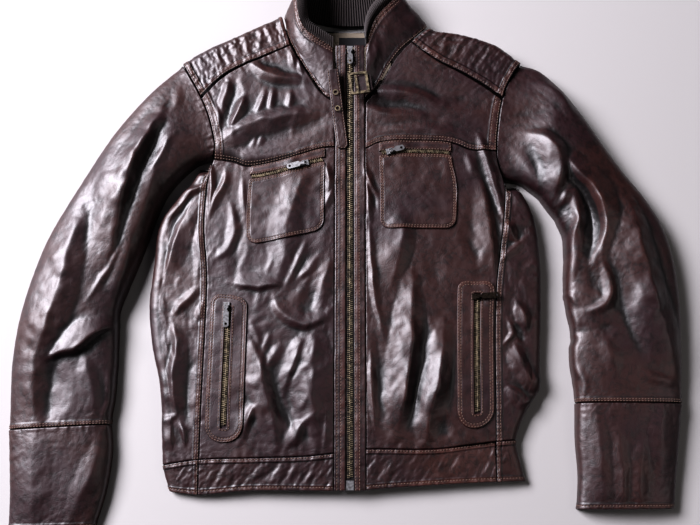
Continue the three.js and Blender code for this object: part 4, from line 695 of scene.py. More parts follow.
def stitch_mesh():
    """All the stitches as short spindles in one piece."""
    place, along, out = (np.concatenate([s[k] for s in STITCHES]) for k in range(3))
    along, side, thick = along * STITCH_HALF, unit(np.cross(along, out)) * STITCH_THICK, out * STITCH_FLAT
    sunk = place - out * 0.25
    ring = (side, thick, -side, -thick)
    points = [sunk - along]
    for t in (-0.72, 0.72):
        points += [place + along * t + way for way in ring]
    points = np.stack(points + [sunk + along], 1)
    faces = []
    for k in range(4):
        a, b = 1 + k, 1 + (k + 1) % 4
        faces += [(0, b, a), (a, b, b + 4), (a, b + 4, a + 4), (9, a + 4, b + 4)]
    faces = np.array(faces)[None] + 10 * np.arange(len(place))[:, None, None]
    return add_mesh("stitches", "thread", points, faces.reshape(-1, 3))


def cloth_sheet(points, wide, long):
    """Works out the area of a piece's folded grid, held under its whole flat size; the result is not kept.
    """
    a, b = points[1:, 1:] - points[:-1, :-1], points[1:, :-1] - points[:-1, 1:]
    area = min(np.linalg.norm(np.cross(a, b), axis=-1).sum() / 2, 0.999 * wide * long)


def panel(name, node, us, vs, place, seams, skirt=2.0):
    """A piece of leather: place(u, v) gives its points and how far each stands proud. Each edge has a
    seam, and the skirt is the thickness that shows at its raw edge."""
    u, v = np.meshgrid(us, vs)
    points, relief = place(u, v)
    if normals(points)[..., 2][points[..., 2] > 5].sum() < 0:
        points, relief = points[:, ::-1], relief[:, ::-1]
        seams = {SWAPPED.get(edge, edge): seam for edge, seam in seams.items()}
    out = normals(points)
    across, down = steps(points, 1), steps(points, 0)
    offs = {"u0": across, "u1": across[:, -1:] - across, "v0": down, "v1": down[-1:] - down}
    # The tone: low places are darker, a painted shade in the valleys of folds and gathers; raised places
    # lean a little towards the worn colour.
    up, tone = np.zeros(u.shape), np.clip(relief, -2, 0) + 0.3 * np.clip(relief, 0, 2)
    for k, (edge, seam) in enumerate(seams.items()):
        along = down if edge[0] == "u" else across
        seam_up, seam_tone = seam.surface(offs[edge], along, 40 + 7 * k + len(name))
        up, tone = up + seam_up, tone + seam_tone
    x, y = points[..., 0], points[..., 1]
    fine = noise(x, y, 4.2, 71) + 0.6 * noise(x, y, 2.3, 72)
    up += 0.12 * fine * np.clip(1.4 - relief, 0.3, 2)
    points = points + up[..., None] * out
    for edge, seam in seams.items():
        for row in seam.rows:
            sew(*offset_line(points, edge, row))
    # The raw edge all round is a skirt of the leather's thickness.
    rim = np.pad(np.zeros(u.shape, bool), 1, constant_values=True)
    border = ((1, 1), (1, 1), (0, 0))
    drop = np.pad(normals(points), border, mode="edge") * skirt
    skirted = np.pad(points, border, mode="edge")
    skirted[rim] -= drop[rim]
    skirted[..., 2] = np.maximum(skirted[..., 2], JUST_OVER_FLOOR)
    tone = np.pad(tone, 1, mode="edge")
    tone[rim] = -1
    obj = add_mesh(name, "leather", skirted, quads(*skirted.shape[:2]), tone)
    cloth_sheet(points, max(across[:, -1]), max(down[-1]))
    stand_for(obj, node)


def stand_for(obj, node):
    """The piece takes the place of a soft solid of the jacket's."""
    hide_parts(node)
    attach(obj, "jacket")


# ---------------------------------------------------------------- body panels
def chest_seam_y(x):
    return curve(CHEST_SEAM, x)


def hem_seam_y(x):
    return curve(HEM_SEAM, x)


def hem_edge_y(x):
    return curve(HEM_EDGE, x)


def front_edge_x(side, y):
    return curve(FRONT_EDGE[side], y)


def side_edge_x(side, y):
    return curve(SIDE_EDGE[side], y)


def front_place(side, sign, a, b):
    """Plan of a front panel: a from the zip strip to the side seam, b from chest to hem."""
    near = sign * (PLACKET_OUT + 2 * SEAM)
    top = mix(near, front_edge_x(side, 140), a)
    foot = mix(near, front_edge_x(side, -255), a)
    y = mix(chest_seam_y(top) - SEAM, hem_seam_y(foot) + SEAM, b)
    return mix(near, front_edge_x(side, y) - sign * SEAM, a), y


def add_front(side, sign):
    def place(u, v):
        x, y = front_place(side, sign, u, 1 - v)
        return np.stack([x, y, front_height(x, y)], -1), BODY.relief(x, y)

    us, vs = graded(172, 0.8, 2.1), graded(395, 0.8, 2.1)
    seams = {"u0": PLAIN, "u1": Seam(pucker=0.35), "v0": Seam(pucker=0.5, pitch=10), "v1": Seam()}
    panel(f"leather_front_{side}", f"front_{side}", us, vs, place, seams)


def add_chest(side, sign):
    armhole = run(ARMHOLE[side])
    shoulder = run(SHOULDER_SEAM[side], reverse=True)
    neck = run(((sign * 21.5, 221),) + NECK_SEAM[side][1:])
    near = sign * (PLACKET_OUT + 2 * SEAM)
    start = armhole(np.array(CHEST_FOOT[side]))

    def bottom(u):
        x = mix(start[0], near, u)
        return np.stack([x, chest_seam_y(x)], -1)

    to_corner = armhole(np.array(CHEST_HEAD[side])) - shoulder(np.array(0.0))

    def top(u):
        return shoulder(u) + to_corner * (1 - u)[..., None]

    def outside(v):
        p = armhole(mix(CHEST_FOOT[side], CHEST_HEAD[side], v))
        foot = np.stack([p[..., 0], chest_seam_y(p[..., 0])], -1)
        return np.where((v == 0)[..., None], foot, p)

    def by_neck(v):
        low = mix(np.array([near, chest_seam_y(near)]), neck(np.array(0.0)), (v / BESIDE_ZIP)[..., None])
        high = neck((v - BESIDE_ZIP) / (1 - BESIDE_ZIP))
        return np.where((v < BESIDE_ZIP)[..., None], low, high)

    def place(u, v):
        p = patch(bottom, top, outside, by_neck, u, v)
        p = mix(p, np.array([sign * 110.0, 220.0]), 0.004)
        x, y = p[..., 0], p[..., 1]
        return np.stack([x, y, front_height(x, y)], -1), BODY.relief(x, y)

    seams = {"u0": Seam(0.8, 11.5, (2, 9.5), 0.5, 7), "u1": PLAIN,
             "v0": Seam(0.7, 7.5, (2, 6), 0.35), "v1": Seam(pucker=0.5, pitch=7, reach=12)}
    us, vs = graded(172, 0.8, 2.0), graded(125, 0.8, 2.0)
    panel(f"leather_chest_{side}", f"chest_{side}", us, vs, place, seams)


class Section:
    """Where places lie on a section that runs along the top, round an edge and on underneath."""

    def __init__(self, place):
        self.on_top, self.on_round = place <= TOP_SHARE, place <= ROUND_SHARE
        self.top = np.clip(place / TOP_SHARE, 0, 1)
        self.angle = math.pi * np.clip((place - TOP_SHARE) / (ROUND_SHARE - TOP_SHARE), 0, 1)
        self.under = np.clip((place - ROUND_SHARE) / (1 - ROUND_SHARE), 0, 1)

    def pick(self, top, edge, under):
        return np.where(self.on_top, top, np.where(self.on_round, edge, under))

    def height(self, x, y, centre_x, centre_y):
        half = front_height(centre_x, centre_y) / 2
        return self.pick(front_height(x, y), half + half * np.cos(self.angle), 0.0)


def round_section(inner, edge, sign, y_at, place):
    """Section round a side edge: along the top, round the edge and under to the back seam."""
    radius = np.minimum(SIDE_ROUND, np.abs(edge - inner) * 0.6)
    centre, back = edge - sign * radius, edge - sign * SIDE_WRAP
    section = Section(place)
    x = section.pick(mix(inner, centre, section.top), centre + sign * radius * np.sin(section.angle),
                     mix(centre, back, section.under))
    y = y_at(x)
    z = section.height(x, y, centre, y_at(centre))
    # The rounded edge keeps some of the folds that run over it.
    s = section.pick(0.0, np.sin(section.angle), 0.0)
    x = x + sign * 0.35 * s * BODY.at(x - sign * 6, y)
    return x, y, z


def section_shares(length, coarse, round_count, under_count):
    return np.concatenate([TOP_SHARE * graded(length, 0.8, coarse)[:-1],
                           np.linspace(TOP_SHARE, ROUND_SHARE, round_count)[:-1],
                           np.linspace(ROUND_SHARE, 1, under_count)])


SECTION = section_shares(70, 1.9, 26, 8)


def add_side(side, sign):
    top = {"left": 132, "right": 106}[side]
    rows = np.linspace(0, 1, 900)
    _, seam_ys = front_place(side, sign, np.ones(900), rows)
    first = rows[np.argmax(seam_ys < top)]

    def place(u, v):
        b = mix(1.0, first, v)
        seam_x, seam_y = front_place(side, sign, np.ones_like(b), b)
        edge = side_edge_x(side, seam_y)

        def y_at(x):
            return seam_y + (hem_seam_y(x) - hem_seam_y(seam_x)) * b**3

        x, y, z = round_section(seam_x + sign * 2 * SEAM, edge, sign, y_at, u)
        # The end in the armpit sinks to the floor, so that it shows no open mouth.
        sunk = ease((v - 0.955) / 0.045) ** 1.5 * ease(u * 9)
        z = mix(z, np.minimum(z, WALL), sunk)
        return np.stack([x, y, z], -1), BODY.relief(x, y) * (u < ROUND_SHARE)

    seams = {"u0": Seam(0.8, 7.0, (1.8, 5.6), 0.4, 7), "v0": Seam(pucker=0.5, pitch=9), "v1": PLAIN}
    panel(f"leather_side_{side}", f"side_{side}", SECTION, graded(375, 0.8, 2.1), place, seams)


def add_shoulder(side, sign):
    front, edge = run(SHOULDER_SEAM[side]), run(SHOULDER_EDGE[side])
    neck_end, armhole = run(NECK_END[side]), run(ARMHOLE[side])

    def place(u, v):
        def plan(share):
            p = patch(front, edge, neck_end, lambda t: armhole(mix(SHOULDER_HEAD[side], 0, t)), u, share)
            # Drawn in a little towards its middle, for the gap at its seams.
            return np.moveaxis(mix(p, np.array([sign * 165.0, 285.0]), 0.007), -1, 0)

        reach = np.linalg.norm(edge(u) - front(u), axis=-1)
        rounding = np.minimum(SIDE_ROUND, reach * 0.4) / reach
        flat, back = 1 - rounding, 1 - rounding - SHOULDER_WRAP / 2 / reach
        section = Section(v)
        x, y = plan(section.pick(section.top * flat, flat + rounding * np.sin(section.angle),
                                 mix(flat, back, section.under)))
        z = section.height(x, y, *plan(flat))
        # Gathers across the patch, from seam to seam.
        along = u * 150
        wave = noise(along, v * 30, 6.0, 301) + 0.6 * noise(along, v * 60, 3.4, 302)
        up = 1.1 * wave * np.sin(math.pi * np.clip(v / ROUND_SHARE * 1.05, 0, 1)) ** 0.5 * (v < ROUND_SHARE)
        return np.stack([x, y, z + up], -1), BODY.relief(x, y) * 0.6 + 0.45 * wave

    us, vs = graded(165, 0.8, 1.5), section_shares(62, 1.8, 24, 6)
    seams = {"v0": Seam(1.0, 8, (2.4,), 0.5, 7, 11), "u0": Seam(0.6, 5, (), 0.4, 6),
             "u1": Seam(0.9, 8, (2.4, 7), 0.6, 7)}
    panel(f"leather_shoulder_{side}", f"shoulder_patch_{side}", us, vs, place, seams)


# ---------------------------------------------------------------- sleeves and cuffs
ARCH = np.linspace(0, math.pi, 4000)
ARCH_LENGTH = lengths(np.stack([70 * (1 - np.cos(ARCH)), 36 * np.sin(ARCH) ** ARCH_FULLNESS], -1))
ARCH_COLUMNS = 118


def sleeve_section(rows, place, share, folds, shift=None):
    """Points round a sleeve's top at a share of the length of its section, and how near its middle."""
    angle = np.interp(share * ARCH_LENGTH[-1], ARCH_LENGTH, ARCH)
    out_x, out_y, in_x, in_y, high = np.moveaxis(row_at(rows, place), -1, 0)
    across = (1 - np.cos(angle)) / 2
    x, y = mix(out_x, in_x, across), mix(out_y, in_y, across)
    if shift:
        dx, dy = shift(across, place)
        x, y = x + dx, y + dy
    s = np.clip(np.sin(angle), 0, 1)
    rise = folds.at(x, y)
    z = high * s**ARCH_FULLNESS + rise * s**0.7
    # Near the edges the folds push the outline in and out instead of up.
    wide = np.hypot(in_x - out_x, in_y - out_y)
    away = np.stack([in_x - out_x, in_y - out_y], -1) / wide[..., None]
    push = 0.45 * rise * (1 - s) * np.where(angle > math.pi / 2, 1, -1) * (s > 0)
    return x + away[..., 0] * push, y + away[..., 1] * push, z, s


def add_sleeve(side, sign):
    rows = SLEEVE[side]
    armhole = run(ARMHOLE[side])
    out_x, out_y, in_x, in_y, _ = rows[0]

    def to_armhole(across, place):
        """The way from the straight first section to the armhole's curve, less and less down the sleeve."""
        p = armhole(across)
        fade = 1 - ease(place / 2.2)
        return (p[..., 0] - mix(out_x, in_x, across)) * fade, (p[..., 1] - mix(out_y, in_y, across)) * fade

    def place(u, v):
        at = (len(rows) - 1) * v**1.1
        x, y, z, s = sleeve_section(rows, at, u, ARMS, to_armhole)
        z = mix(front_height(x, y) * s**0.3, z, ease(at / 2))
        x = x + sign * 0.6 * (1 - ease(at * 3))
        return np.stack([x, y, z], -1), ARMS.relief(x, y) * np.clip(s * 2, 0, 1)

    seams = {"v0": Seam(pucker=0.6, pitch=8, reach=11), "v1": Seam(0.7, 5.5, (1.8, 4.6), 0.4)}
    us, vs = np.linspace(0, 1, ARCH_COLUMNS), graded(510, 0.8, 2.1)
    panel(f"leather_sleeve_{side}", f"sleeve_top_{side}", us, vs, place, seams)


CUFF_TOP = 0.6  # where a cuff's top ends and its underside starts, in shares of its columns


def add_cuff(side):
    rows = CUFF[side]

    def place(u, v):
        at = (len(rows) - 1) * v
        x, y, z, s = sleeve_section(rows, at, np.clip(u / CUFF_TOP, 0, 1), WRISTS)
        out_x, out_y, in_x, in_y, _ = np.moveaxis(row_at(rows, at), -1, 0)
        t = 1 - np.clip((u - CUFF_TOP) / (1 - CUFF_TOP), 0, 1)
        under = u > CUFF_TOP
        x = np.where(under, mix(out_x, in_x, t), x)
        y = np.where(under, mix(out_y, in_y, t), y)
        z = np.where(under, 0.1, z)
        return np.stack([x, y, z], -1), WRISTS.relief(x, y) * np.where(under, 0, np.clip(s * 2, 0, 1))

    us = np.concatenate([np.linspace(0, CUFF_TOP, ARCH_COLUMNS), np.linspace(CUFF_TOP, 1, 24)[1:]])
    seams = {"v0": Seam(pucker=0.5, pitch=8, reach=11), "v1": Seam(0.6, 7, (5,), 0.5, 9)}
    panel(f"leather_cuff_{side}", f"cuff_{side}", us, graded(128, 0.8, 1.9), place, seams, skirt=3.0)


# ---------------------------------------------------------------- hem band
HEM_SEAMS = {"v1": Seam(0.7, 5, (2.2,), 0.5, 6), "v0": Seam(0.5, 7, (5,), 0.5, 7)}


def hem_place(x, v):
    return mix(hem_seam_y(x) - SEAM, hem_edge_y(x), v)


def crinkle(x, v, seed):
    """Gathers across the hem band, leaning to the right as they go down."""
    lean = x + 22 * v
    return noise(lean, v * 14, 6.4, seed) + 0.55 * noise(lean, v * 26, 3.6, seed + 1)


def add_hem(side, sign):
    start = sign * (PLACKET_OUT + 2 * SEAM)
    end = float(front_edge_x(side, -280))

    def place(u, v):
        x = mix(start, end, u)
        y = hem_place(x, 1 - v)
        wave = crinkle(x, 1 - v, 401)
        across = np.sin(math.pi * np.clip(v, 0.06, 0.94)) ** 0.6
        # The right band lies lower towards its side and its seam, and is lighter there: a painted sheen,
        # laid in the worn colour.
        bow = 5 * np.clip((x - 100) / 60, 0, 1) * v if sign > 0 else 0
        points = np.stack([x, y, front_height(x, y) - bow + 0.7 + 0.85 * wave * across], -1)
        # Painted sheen on the right band: its tone is pushed towards the worn colour.
        wear_and_painted_sheen = 2.2 * ease((x - 55) / 45) * (1 - 0.4 * noise(x, y, 24, 403) ** 2)
        return points, BODY.relief(x, y) * 0.6 + 0.45 * wave + wear_and_painted_sheen

    seams = {**HEM_SEAMS, "u0": PLAIN, "u1": Seam()}
    us, vs = graded(172, 0.8, 1.5), graded(52, 0.8, 1.6)
    panel(f"leather_hem_front_{side}", f"hem_front_{side}", us, vs, place, seams)

    def side_place(u, v):
        def y_at(x):
            return hem_place(x, 1 - v)

        edge = side_edge_x(side, y_at(np.full_like(u, sign * 215.0)))
        x, y, z = round_section(end + sign * 2 * SEAM, edge, sign, y_at, u)
        wave = crinkle(x, 1 - v, 411)
        up = 0.9 * wave * np.sin(math.pi * np.clip(v, 0.06, 0.94)) * (u < TOP_SHARE)
        return np.stack([x, y, z + up], -1), 0.4 * wave * (u < ROUND_SHARE)

    seams = {"u0": Seam(0.7, 5, (2,), 0.4), **HEM_SEAMS}
    panel(f"leather_hem_side_{side}", f"hem_side_{side}", SECTION, vs, side_place, seams)


# ---------------------------------------------------------------- main zip
TOOTH_PITCH = 2.75  # from one tooth to the next on the same side
# Sections along a tooth: place, half the width and half the height. Each has four corners.
TOOTH = ((-2.0, 0.62, 0.35), (-1.7, 0.8, 0.75), (1.0, 0.8, 0.75), (1.5, 0.62, 0.95), (2.0, 0.45, 0.5))
CORNERS = ((-1, -1), (1, -1), (0.72, 1), (-0.72, 1))


def add_teeth(name, node, line, half):
    """Small rounded teeth from both sides along a line, taking turns."""
    length = lengths(line)
    at = np.arange(TOOTH_PITCH, length[-1] - TOOTH_PITCH / 2, TOOTH_PITCH / 2)
    middle, ahead = sample(line, length, at), sample(line, length, at + 0.5)
    up = np.array([0.0, 0.0, 1.0])
    out = unit(np.cross(ahead - middle, up)) * np.where(np.arange(len(at)) % 2, 1, -1)[:, None]
    centre, along = middle + out * (half - 1.95), -out
    side = unit(np.cross(up, along))
    points = []
    for t, wide, high in TOOTH:
        points += [centre + along * t + side * a * wide + up * b * high for a, b in CORNERS]
    points = np.stack(points, 1)
    faces = [(3, 2, 1, 0), (16, 17, 18, 19)]
    for r in range(4):
        for k in range(4):
            a, b = 4 * r + k, 4 * r + (k + 1) % 4
            faces.append((a, b, b + 4, a + 4))
    faces = np.array(faces)[None] + 20 * np.arange(len(at))[:, None, None]
    stand_for(add_mesh(name, "antique_brass", points, faces.reshape(-1, 4), smooth=False), node)


def add_placket(side, sign):
    def place(u, v):
        x = sign * mix(PLACKET_IN, PLACKET_OUT, u)
        y = mix(HEM_Y, COLLAR_TOP_Y, v)
        wave = noise(x * 0.6, y, 17, 501) + 0.5 * noise(x, y, 8, 502)
        return np.stack([x, y, zip_height(x, y) + 1.4 + 0.45 * wave], -1), 0.35 * wave + 0.15

    wide = PLACKET_OUT - PLACKET_IN
    rows = {"left": (wide - 3.4, wide - 8.4), "right": (2.2, 7.4)}[side]
    seams = {"u0": Seam(0.3, 8, rows, 0.25, 9), "u1": Seam(pucker=0.25), "v0": PLAIN, "v1": PLAIN}
    us, vs = graded(15, 0.6, 1.4, 4), graded(604, 1.0, 1.9)
    panel(f"leather_placket_{side}", f"placket_{side}", us, vs, place, seams, skirt=3)


def add_main_zip():
    y = np.linspace(HEM_Y + CHAIN_FROM, COLLAR_TOP_Y - 6, 400)
    add_teeth("zip_teeth", "zip_chain", np.stack([0 * y, y, zip_height(0 * y, y) + 0.55], -1), 3.6)
    x = np.array([-6.5, -3.2, 3.2, 6.5])
    tape_x, tape_y = np.meshgrid(x, y)
    tape_z = zip_height(0 * tape_x, tape_y) + np.array([0.1, -0.15, -0.15, 0.1])
    tape = add_mesh("zip_tape", "lining", np.stack([tape_x, tape_y, tape_z], -1), quads(*tape_x.shape))
    tape.data.materials[0] = MATERIALS["tape"]
    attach(tape, "jacket")


# ---------------------------------------------------------------- pockets
# Places of the pockets in shares of the front panel: across, from the zip, and down, from the chest.
# Chest pocket: its two sides, the zip's upper and lower edge, and the bottom.
CHEST_POCKET = {"left": (0.08, 0.675, 0.034, 0.048, 0.283), "right": (0.105, 0.655, 0.033, 0.045, 0.3)}
# Lower pocket: inner edge, the slot's two sides, outer edge, top, the slot's top and bottom, bottom.
HAND_POCKET = {
    "left": (0.675, 0.8, 0.845, 0.965, 0.464, 0.505, 0.905, 0.95),
    "right": (0.7, 0.832, 0.878, 0.985, 0.463, 0.505, 0.905, 0.95),
}
PATCH_HIGH = 2.1  # how far a sewn piece stands over its panel
SLOT_DEPTH = 20


def rounded(hx, hy, radii, inset, m):
    """A rounded rectangle's outline, drawn in by an inset, its points in step at every inset. The
    radii are the upper corners' and the lower corners', and each side has m points."""
    hx, hy = max(hx - inset, 0.02), max(hy - inset, 0.02)
    arc = np.linspace(0, math.pi / 2, 12)
    arcs = []
    for q, (right, low) in enumerate(((1, 1), (-1, 1), (-1, -1), (1, -1))):
        r = min(max(radii[low > 0] - inset, 0.01), hx, hy)
        turn = arc + q * math.pi / 2
        arcs.append(np.stack([right * (hx - r) + r * np.cos(turn), low * (hy - r) + r * np.sin(turn)], -1))
    line = []
    for k, a in enumerate(arcs):
        b = arcs[(k + 1) % 4]
        t = np.linspace(0, 1, m)[1:-1, None]
        line += [a, mix(a[-1], b[0], t)]
    return np.concatenate(line)


INSETS = (0, 0.15, 0.4, 0.8, 1.3, 1.9, 2.5, 3.2, 4.0, 4.8, 5.6, 6.4, 7.4, 8.5)


def sewn_piece(name, node, side, sign, span, radius, rows, seed, slot_span=None, ruck=0.35):
    """A piece sewn on a front panel, over a span of the panel's own grid, with an open slot if given.
    Depth is a point's distance from the edge, and past SLOT_DEPTH its share of the way to the slot."""
    a0, a1, b0, b1 = span

    def to_plan(p, q):
        return front_place(side, sign, np.clip(mix(a0, a1, p), 0.001, 0.999), mix(b0, b1, q))

    mid = to_plan(np.array([0.0, 1.0, 0.5, 0.5]), np.array([0.5, 0.5, 0.0, 1.0]))
    wide = math.hypot(mid[0][1] - mid[0][0], mid[1][1] - mid[1][0])
    long = math.hypot(mid[0][3] - mid[0][2], mid[1][3] - mid[1][2])
    hx, hy = wide / 2, long / 2
    insets = [d for d in INSETS if d < min(hx, hy) * 0.8]
    m = max(12, int(max(wide, long) / 2.2))
    rings = [rounded(hx, hy, radius, d, m) for d in insets]
    depth = list(insets)
    if slot_span:
        s0, s1, t0, t1 = slot_span
        centre = (mix(-hx, hx, ((s0 + s1) / 2 - a0) / (a1 - a0)),
                  mix(-hy, hy, ((t0 + t1) / 2 - b0) / (b1 - b0)))
        hole = rounded((s1 - s0) / (a1 - a0) * hx, (t1 - t0) / (b1 - b0) * hy, (1.2, 1.2), 0, m) + centre
        # The slot's outline is walked in step with the outer one.
        for t in (0.2, 0.4, 0.6, 0.75, 0.87, 0.95, 1.0):
            rings.append(mix(rings[len(insets) - 1], hole, t))
            depth.append(SLOT_DEPTH + t)
    else:
        core = rounded(hx, hy, radius, min(hx, hy), m)
        count = max(4, int((min(hx, hy) - insets[-1]) / 2.2))
        for t in np.linspace(0, 1, count + 1)[1:]:
            rings.append(mix(rings[len(insets) - 1], core, t))
            depth.append(insets[-1] + 1 + t)
    rings = np.stack(rings)
    depth = np.array(depth)[:, None] * np.ones(rings.shape[1])
    x, y = to_plan((rings[..., 0] / hx + 1) / 2, (rings[..., 1] / hy + 1) / 2)
    wave = noise(x, y, 12, 601 + seed) + 0.5 * noise(x, y, 6, 602 + seed)
    up = np.interp(depth, (0, 0.15, 0.4, 0.8), (-0.6, 0.5, PATCH_HIGH * 0.8, PATCH_HIGH))
    up = up + ruck * wave * np.clip(depth, 0, 2) / 2
    tone = 0.3 * wave + np.where(depth < 0.3, -0.9, 0) + 1.1 * (depth > 0.3) * (1 - ease((depth - 4) / 2))
    up, tone = under_stitches(up, tone, depth, rows)
    if slot_span:
        in_slot = depth > SLOT_DEPTH + 0.99
        lip = (depth > SLOT_DEPTH + 0.8) & ~in_slot
        up = np.where(in_slot, 0.2, up + 0.5 * lip)
        tone = np.where(in_slot, -1.2, tone + EDGE_TONE * lip)
        rows += (SLOT_DEPTH + 0.75,)
    points = np.stack([x, y, front_height(x, y) + 2 * SEAM + up], -1)
    relief = tone + 0.8 * BODY.relief(x, y)
    faces = quads(*points.shape[:2], closed=True)
    plan = points[..., :2]
    inward, onward = plan[1:] - plan[:-1], np.roll(plan[:-1], -1, 1) - plan[:-1]
    if np.cross(inward, onward).sum() < 0:
        faces = faces[:, ::-1]
    closed_ring = np.concatenate([points, points[:, :1]], 1)
    out = normals(closed_ring)
    if out[..., 2].mean() < 0:
        out = -out
    for row in rows:
        k = np.interp(row, depth[:, 0], np.arange(len(depth)))
        i = int(k)
        sew(mix(closed_ring[i], closed_ring[min(i + 1, len(depth) - 1)], k - i), out[i], trim=0.5)
    obj = add_mesh(name, "leather", points, faces, relief)
    cloth_sheet(closed_ring, wide, long)
    stand_for(obj, node)


def pocket_zip(kind, side, sign, across, down, count, half):
    x, y = front_place(side, sign, np.linspace(*across, count), np.linspace(*down, count))
    line = np.stack([x, y, front_height(x, y) + 1.8], -1)
    add_teeth(f"{kind}_teeth_{side}", f"{kind}_zip_{side}", line, half)


def add_pockets(side, sign):
    inner, outer, slit, bag, bottom = CHEST_POCKET[side]
    sewn_piece(f"leather_pocket_{side}", f"chest_pocket_{side}", side, sign, (inner, outer, bag, bottom),
               (3, 15), (2.2, 4.6), 3, ruck=0.5)
    sewn_piece(f"leather_pocket_top_{side}", f"chest_welt_{side}", side, sign, (inner, outer, 0.001, slit),
               (2, 1), (1.6,), 5)
    middle = (slit + bag) / 2
    pocket_zip("chest", side, sign, (inner + 0.01, outer - 0.01), (middle, middle), 120, 2.6)

    inner, slot0, slot1, outer, top, slot_top, slot_end, bottom = HAND_POCKET[side]
    sewn_piece(f"leather_welt_{side}", f"hand_welt_{side}", side, sign, (inner, outer, top, bottom),
               (14, 23), (1.9, 5.2), 7, (slot0, slot1, slot_top, slot_end))
    middle = (slot0 + slot1) / 2
    pocket_zip("hand", side, sign, (middle, middle), (slot_top + 0.005, slot_end - 0.005), 300, 3.3)


# ---------------------------------------------------------------- collar
COLLAR_BULGE, COLLAR_WALL = 3, 1.8
COLLAR_END = len(COLLAR) - 1
KNIT_WALL, KNIT_ROLL, KNIT_SLACK = 2.4, 6.5, 1.6  # thickness, radius of its roll, and room at the back
RIB_PITCH, RIB_HIGH = 3.1, 0.75


def collar_frame(place):
    """Its seam, its top, the way up and the way out at a place along the collar."""
    row = row_at(COLLAR, place)
    seam, top = row[..., :3], row[..., 3:]
    step = row_at(COLLAR, np.minimum(place + 0.2, COLLAR_END)) - row_at(COLLAR, np.maximum(place - 0.2, 0))
    along = unit(step[..., :3] + step[..., 3:])
    up = unit(top - seam)
    return seam, top, up, unit(np.cross(up, along))


def collar_at(place, v, off):
    seam, top, _, out = collar_frame(place)
    off = off + COLLAR_BULGE * np.sin(math.pi * v)
    return mix(seam, top, v[..., None]) + out * off[..., None]


def collar_run(share):
    """Places along the collar at shares of the length of its top, and that length."""
    at = np.linspace(0, COLLAR_END, 4000)
    length = lengths(row_at(COLLAR, at)[:, 3:])
    return np.interp(share * length[-1], length, at), length[-1]


def add_collar():
    def place(u, v):
        where, long = collar_run(u)
        along = u * long
        v = v * 0.95
        wave = noise(along, v * 40, 26, 701) + 0.55 * noise(along, v * 50, 12, 702)
        across = np.sin(math.pi * np.clip(v, 0.04, 0.96))
        ridge = 0.9 * bell((v - 0.9) / 0.035) + 0.7 * bell((v - 0.78) / 0.035)
        return collar_at(where, v, 2.2 * wave * across + ridge), 0.5 * wave + 0.5 * ridge

    seams = {"v0": Seam(0.6, 6, (2.4,), 0.5, 8), "v1": Seam(0.5, 10.5, (1.8, 5.0, 9.0), 0.5, 7),
             "u0": PLAIN, "u1": PLAIN}
    us, vs = np.linspace(0, 1, 420), graded(66, 0.7, 1.6, 8)
    panel("leather_collar", "collar_leather", us, vs, place, seams)


def add_knit():
    """The knit runs up inside the collar, rolls over its edge and ends outside."""
    count = 1300
    at, long = collar_run(np.linspace(0, 1, count)[:, None])
    rib = RIB_HIGH * np.cos(2 * math.pi * np.linspace(0, long / RIB_PITCH, count))[:, None]
    slack = COLLAR_WALL + 1 + KNIT_SLACK * np.sin(math.pi * at / COLLAR_END) ** 2

    def wall(vs, off):
        v = np.broadcast_to(np.array(vs)[None, :], (count, len(vs)))
        return collar_at(np.broadcast_to(at, v.shape), v, off)

    inner = wall(np.linspace(0.04, 0.93, 22), -slack - KNIT_WALL - rib)
    outer = wall((0.93, 0.5, 0.04), -slack)
    _, top, up, out = (a[:, 0] for a in collar_frame(at))
    centre = top + up * (KNIT_ROLL - 1) - out * 1.5
    angles = np.radians(np.linspace(200, -30, 22))
    radius = KNIT_ROLL + rib
    roll = (centre[:, None] + out[:, None] * (radius * np.cos(angles))[..., None]
            + up[:, None] * (radius * np.sin(angles))[..., None])
    points = np.concatenate([inner, roll, outer], 1)
    points[..., 2] = np.maximum(points[..., 2], 2.4)
    # The rib's rise, which the knit's material paints lighter on the ribs and as shade between them.
    relief = np.broadcast_to(rib, points.shape[:2])
    obj = add_mesh("rib_collar", "rib_knit", points, quads(*points.shape[:2]), relief)
    across = lengths(points[count // 2])[-1]
    stand_for(obj, "collar_knit")


# ---------------------------------------------------------------- throat strap
STRAP_TOP, STRAP_TIP = np.array([-24.0, 262.0]), np.array([-10.0, 152.0])
STRAP_WIDE, STRAP_OVER = 16.5, 4.4  # its width, and how far its face stands over the strips


def add_strap():
    along = unit(STRAP_TIP - STRAP_TOP)
    side = np.array([-along[1], along[0]])

    def place(u, v):
        half = STRAP_WIDE / 2 * np.sqrt(1 - np.clip((v - 0.93) / 0.075, 0, 1) ** 2)
        middle = mix(STRAP_TOP, STRAP_TIP, v[..., None])
        p = middle + side * (mix(-1, 1, u) * np.maximum(half, 2.5))[..., None]
        wave = noise(p[..., 0], p[..., 1], 9, 801)
        y = middle[..., 1]
        # It runs up over the knit at its top.
        z = zip_height(np.full_like(y, -12), y) + STRAP_OVER + 6 * ease((y - 190) / 35) + 0.15 * wave
        return np.concatenate([p, z[..., None]], -1), 0.2 * wave + 0.15

    edge = Seam(0, 3, (2.2,), 0.1)
    us, vs = graded(STRAP_WIDE, 0.4, 1.0, 3), graded(111, 0.7, 1.4, 8)
    panel("leather_strap", "throat_strap", us, vs, place, {"u0": edge, "u1": edge, "v1": edge}, skirt=2.4)


# ---------------------------------------------------------------- flat pieces and hardware
def dress(obj, slot, width, segments):
    """Gives a solid's shape its look and soft edges."""
    obj.data.materials.clear()
    obj.data.materials.append(MATERIALS[slot])
    bevel = obj.modifiers.new("soft_edges", "BEVEL")
    bevel.width = width
    bevel.segments = segments
    bevel.limit_method = "ANGLE"
    bevel.angle_limit = math.radians(35)
    bevel.harden_normals = False


def copy_of(node, name, slot):
    """A flat piece with its solid's outline and soft edges."""
    obj = bpy.data.objects.new(name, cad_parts[node].data.copy())
    bpy.context.scene.collection.objects.link(obj)
    dress(obj, slot, 0.0003, 2)
    stand_for(obj, node)


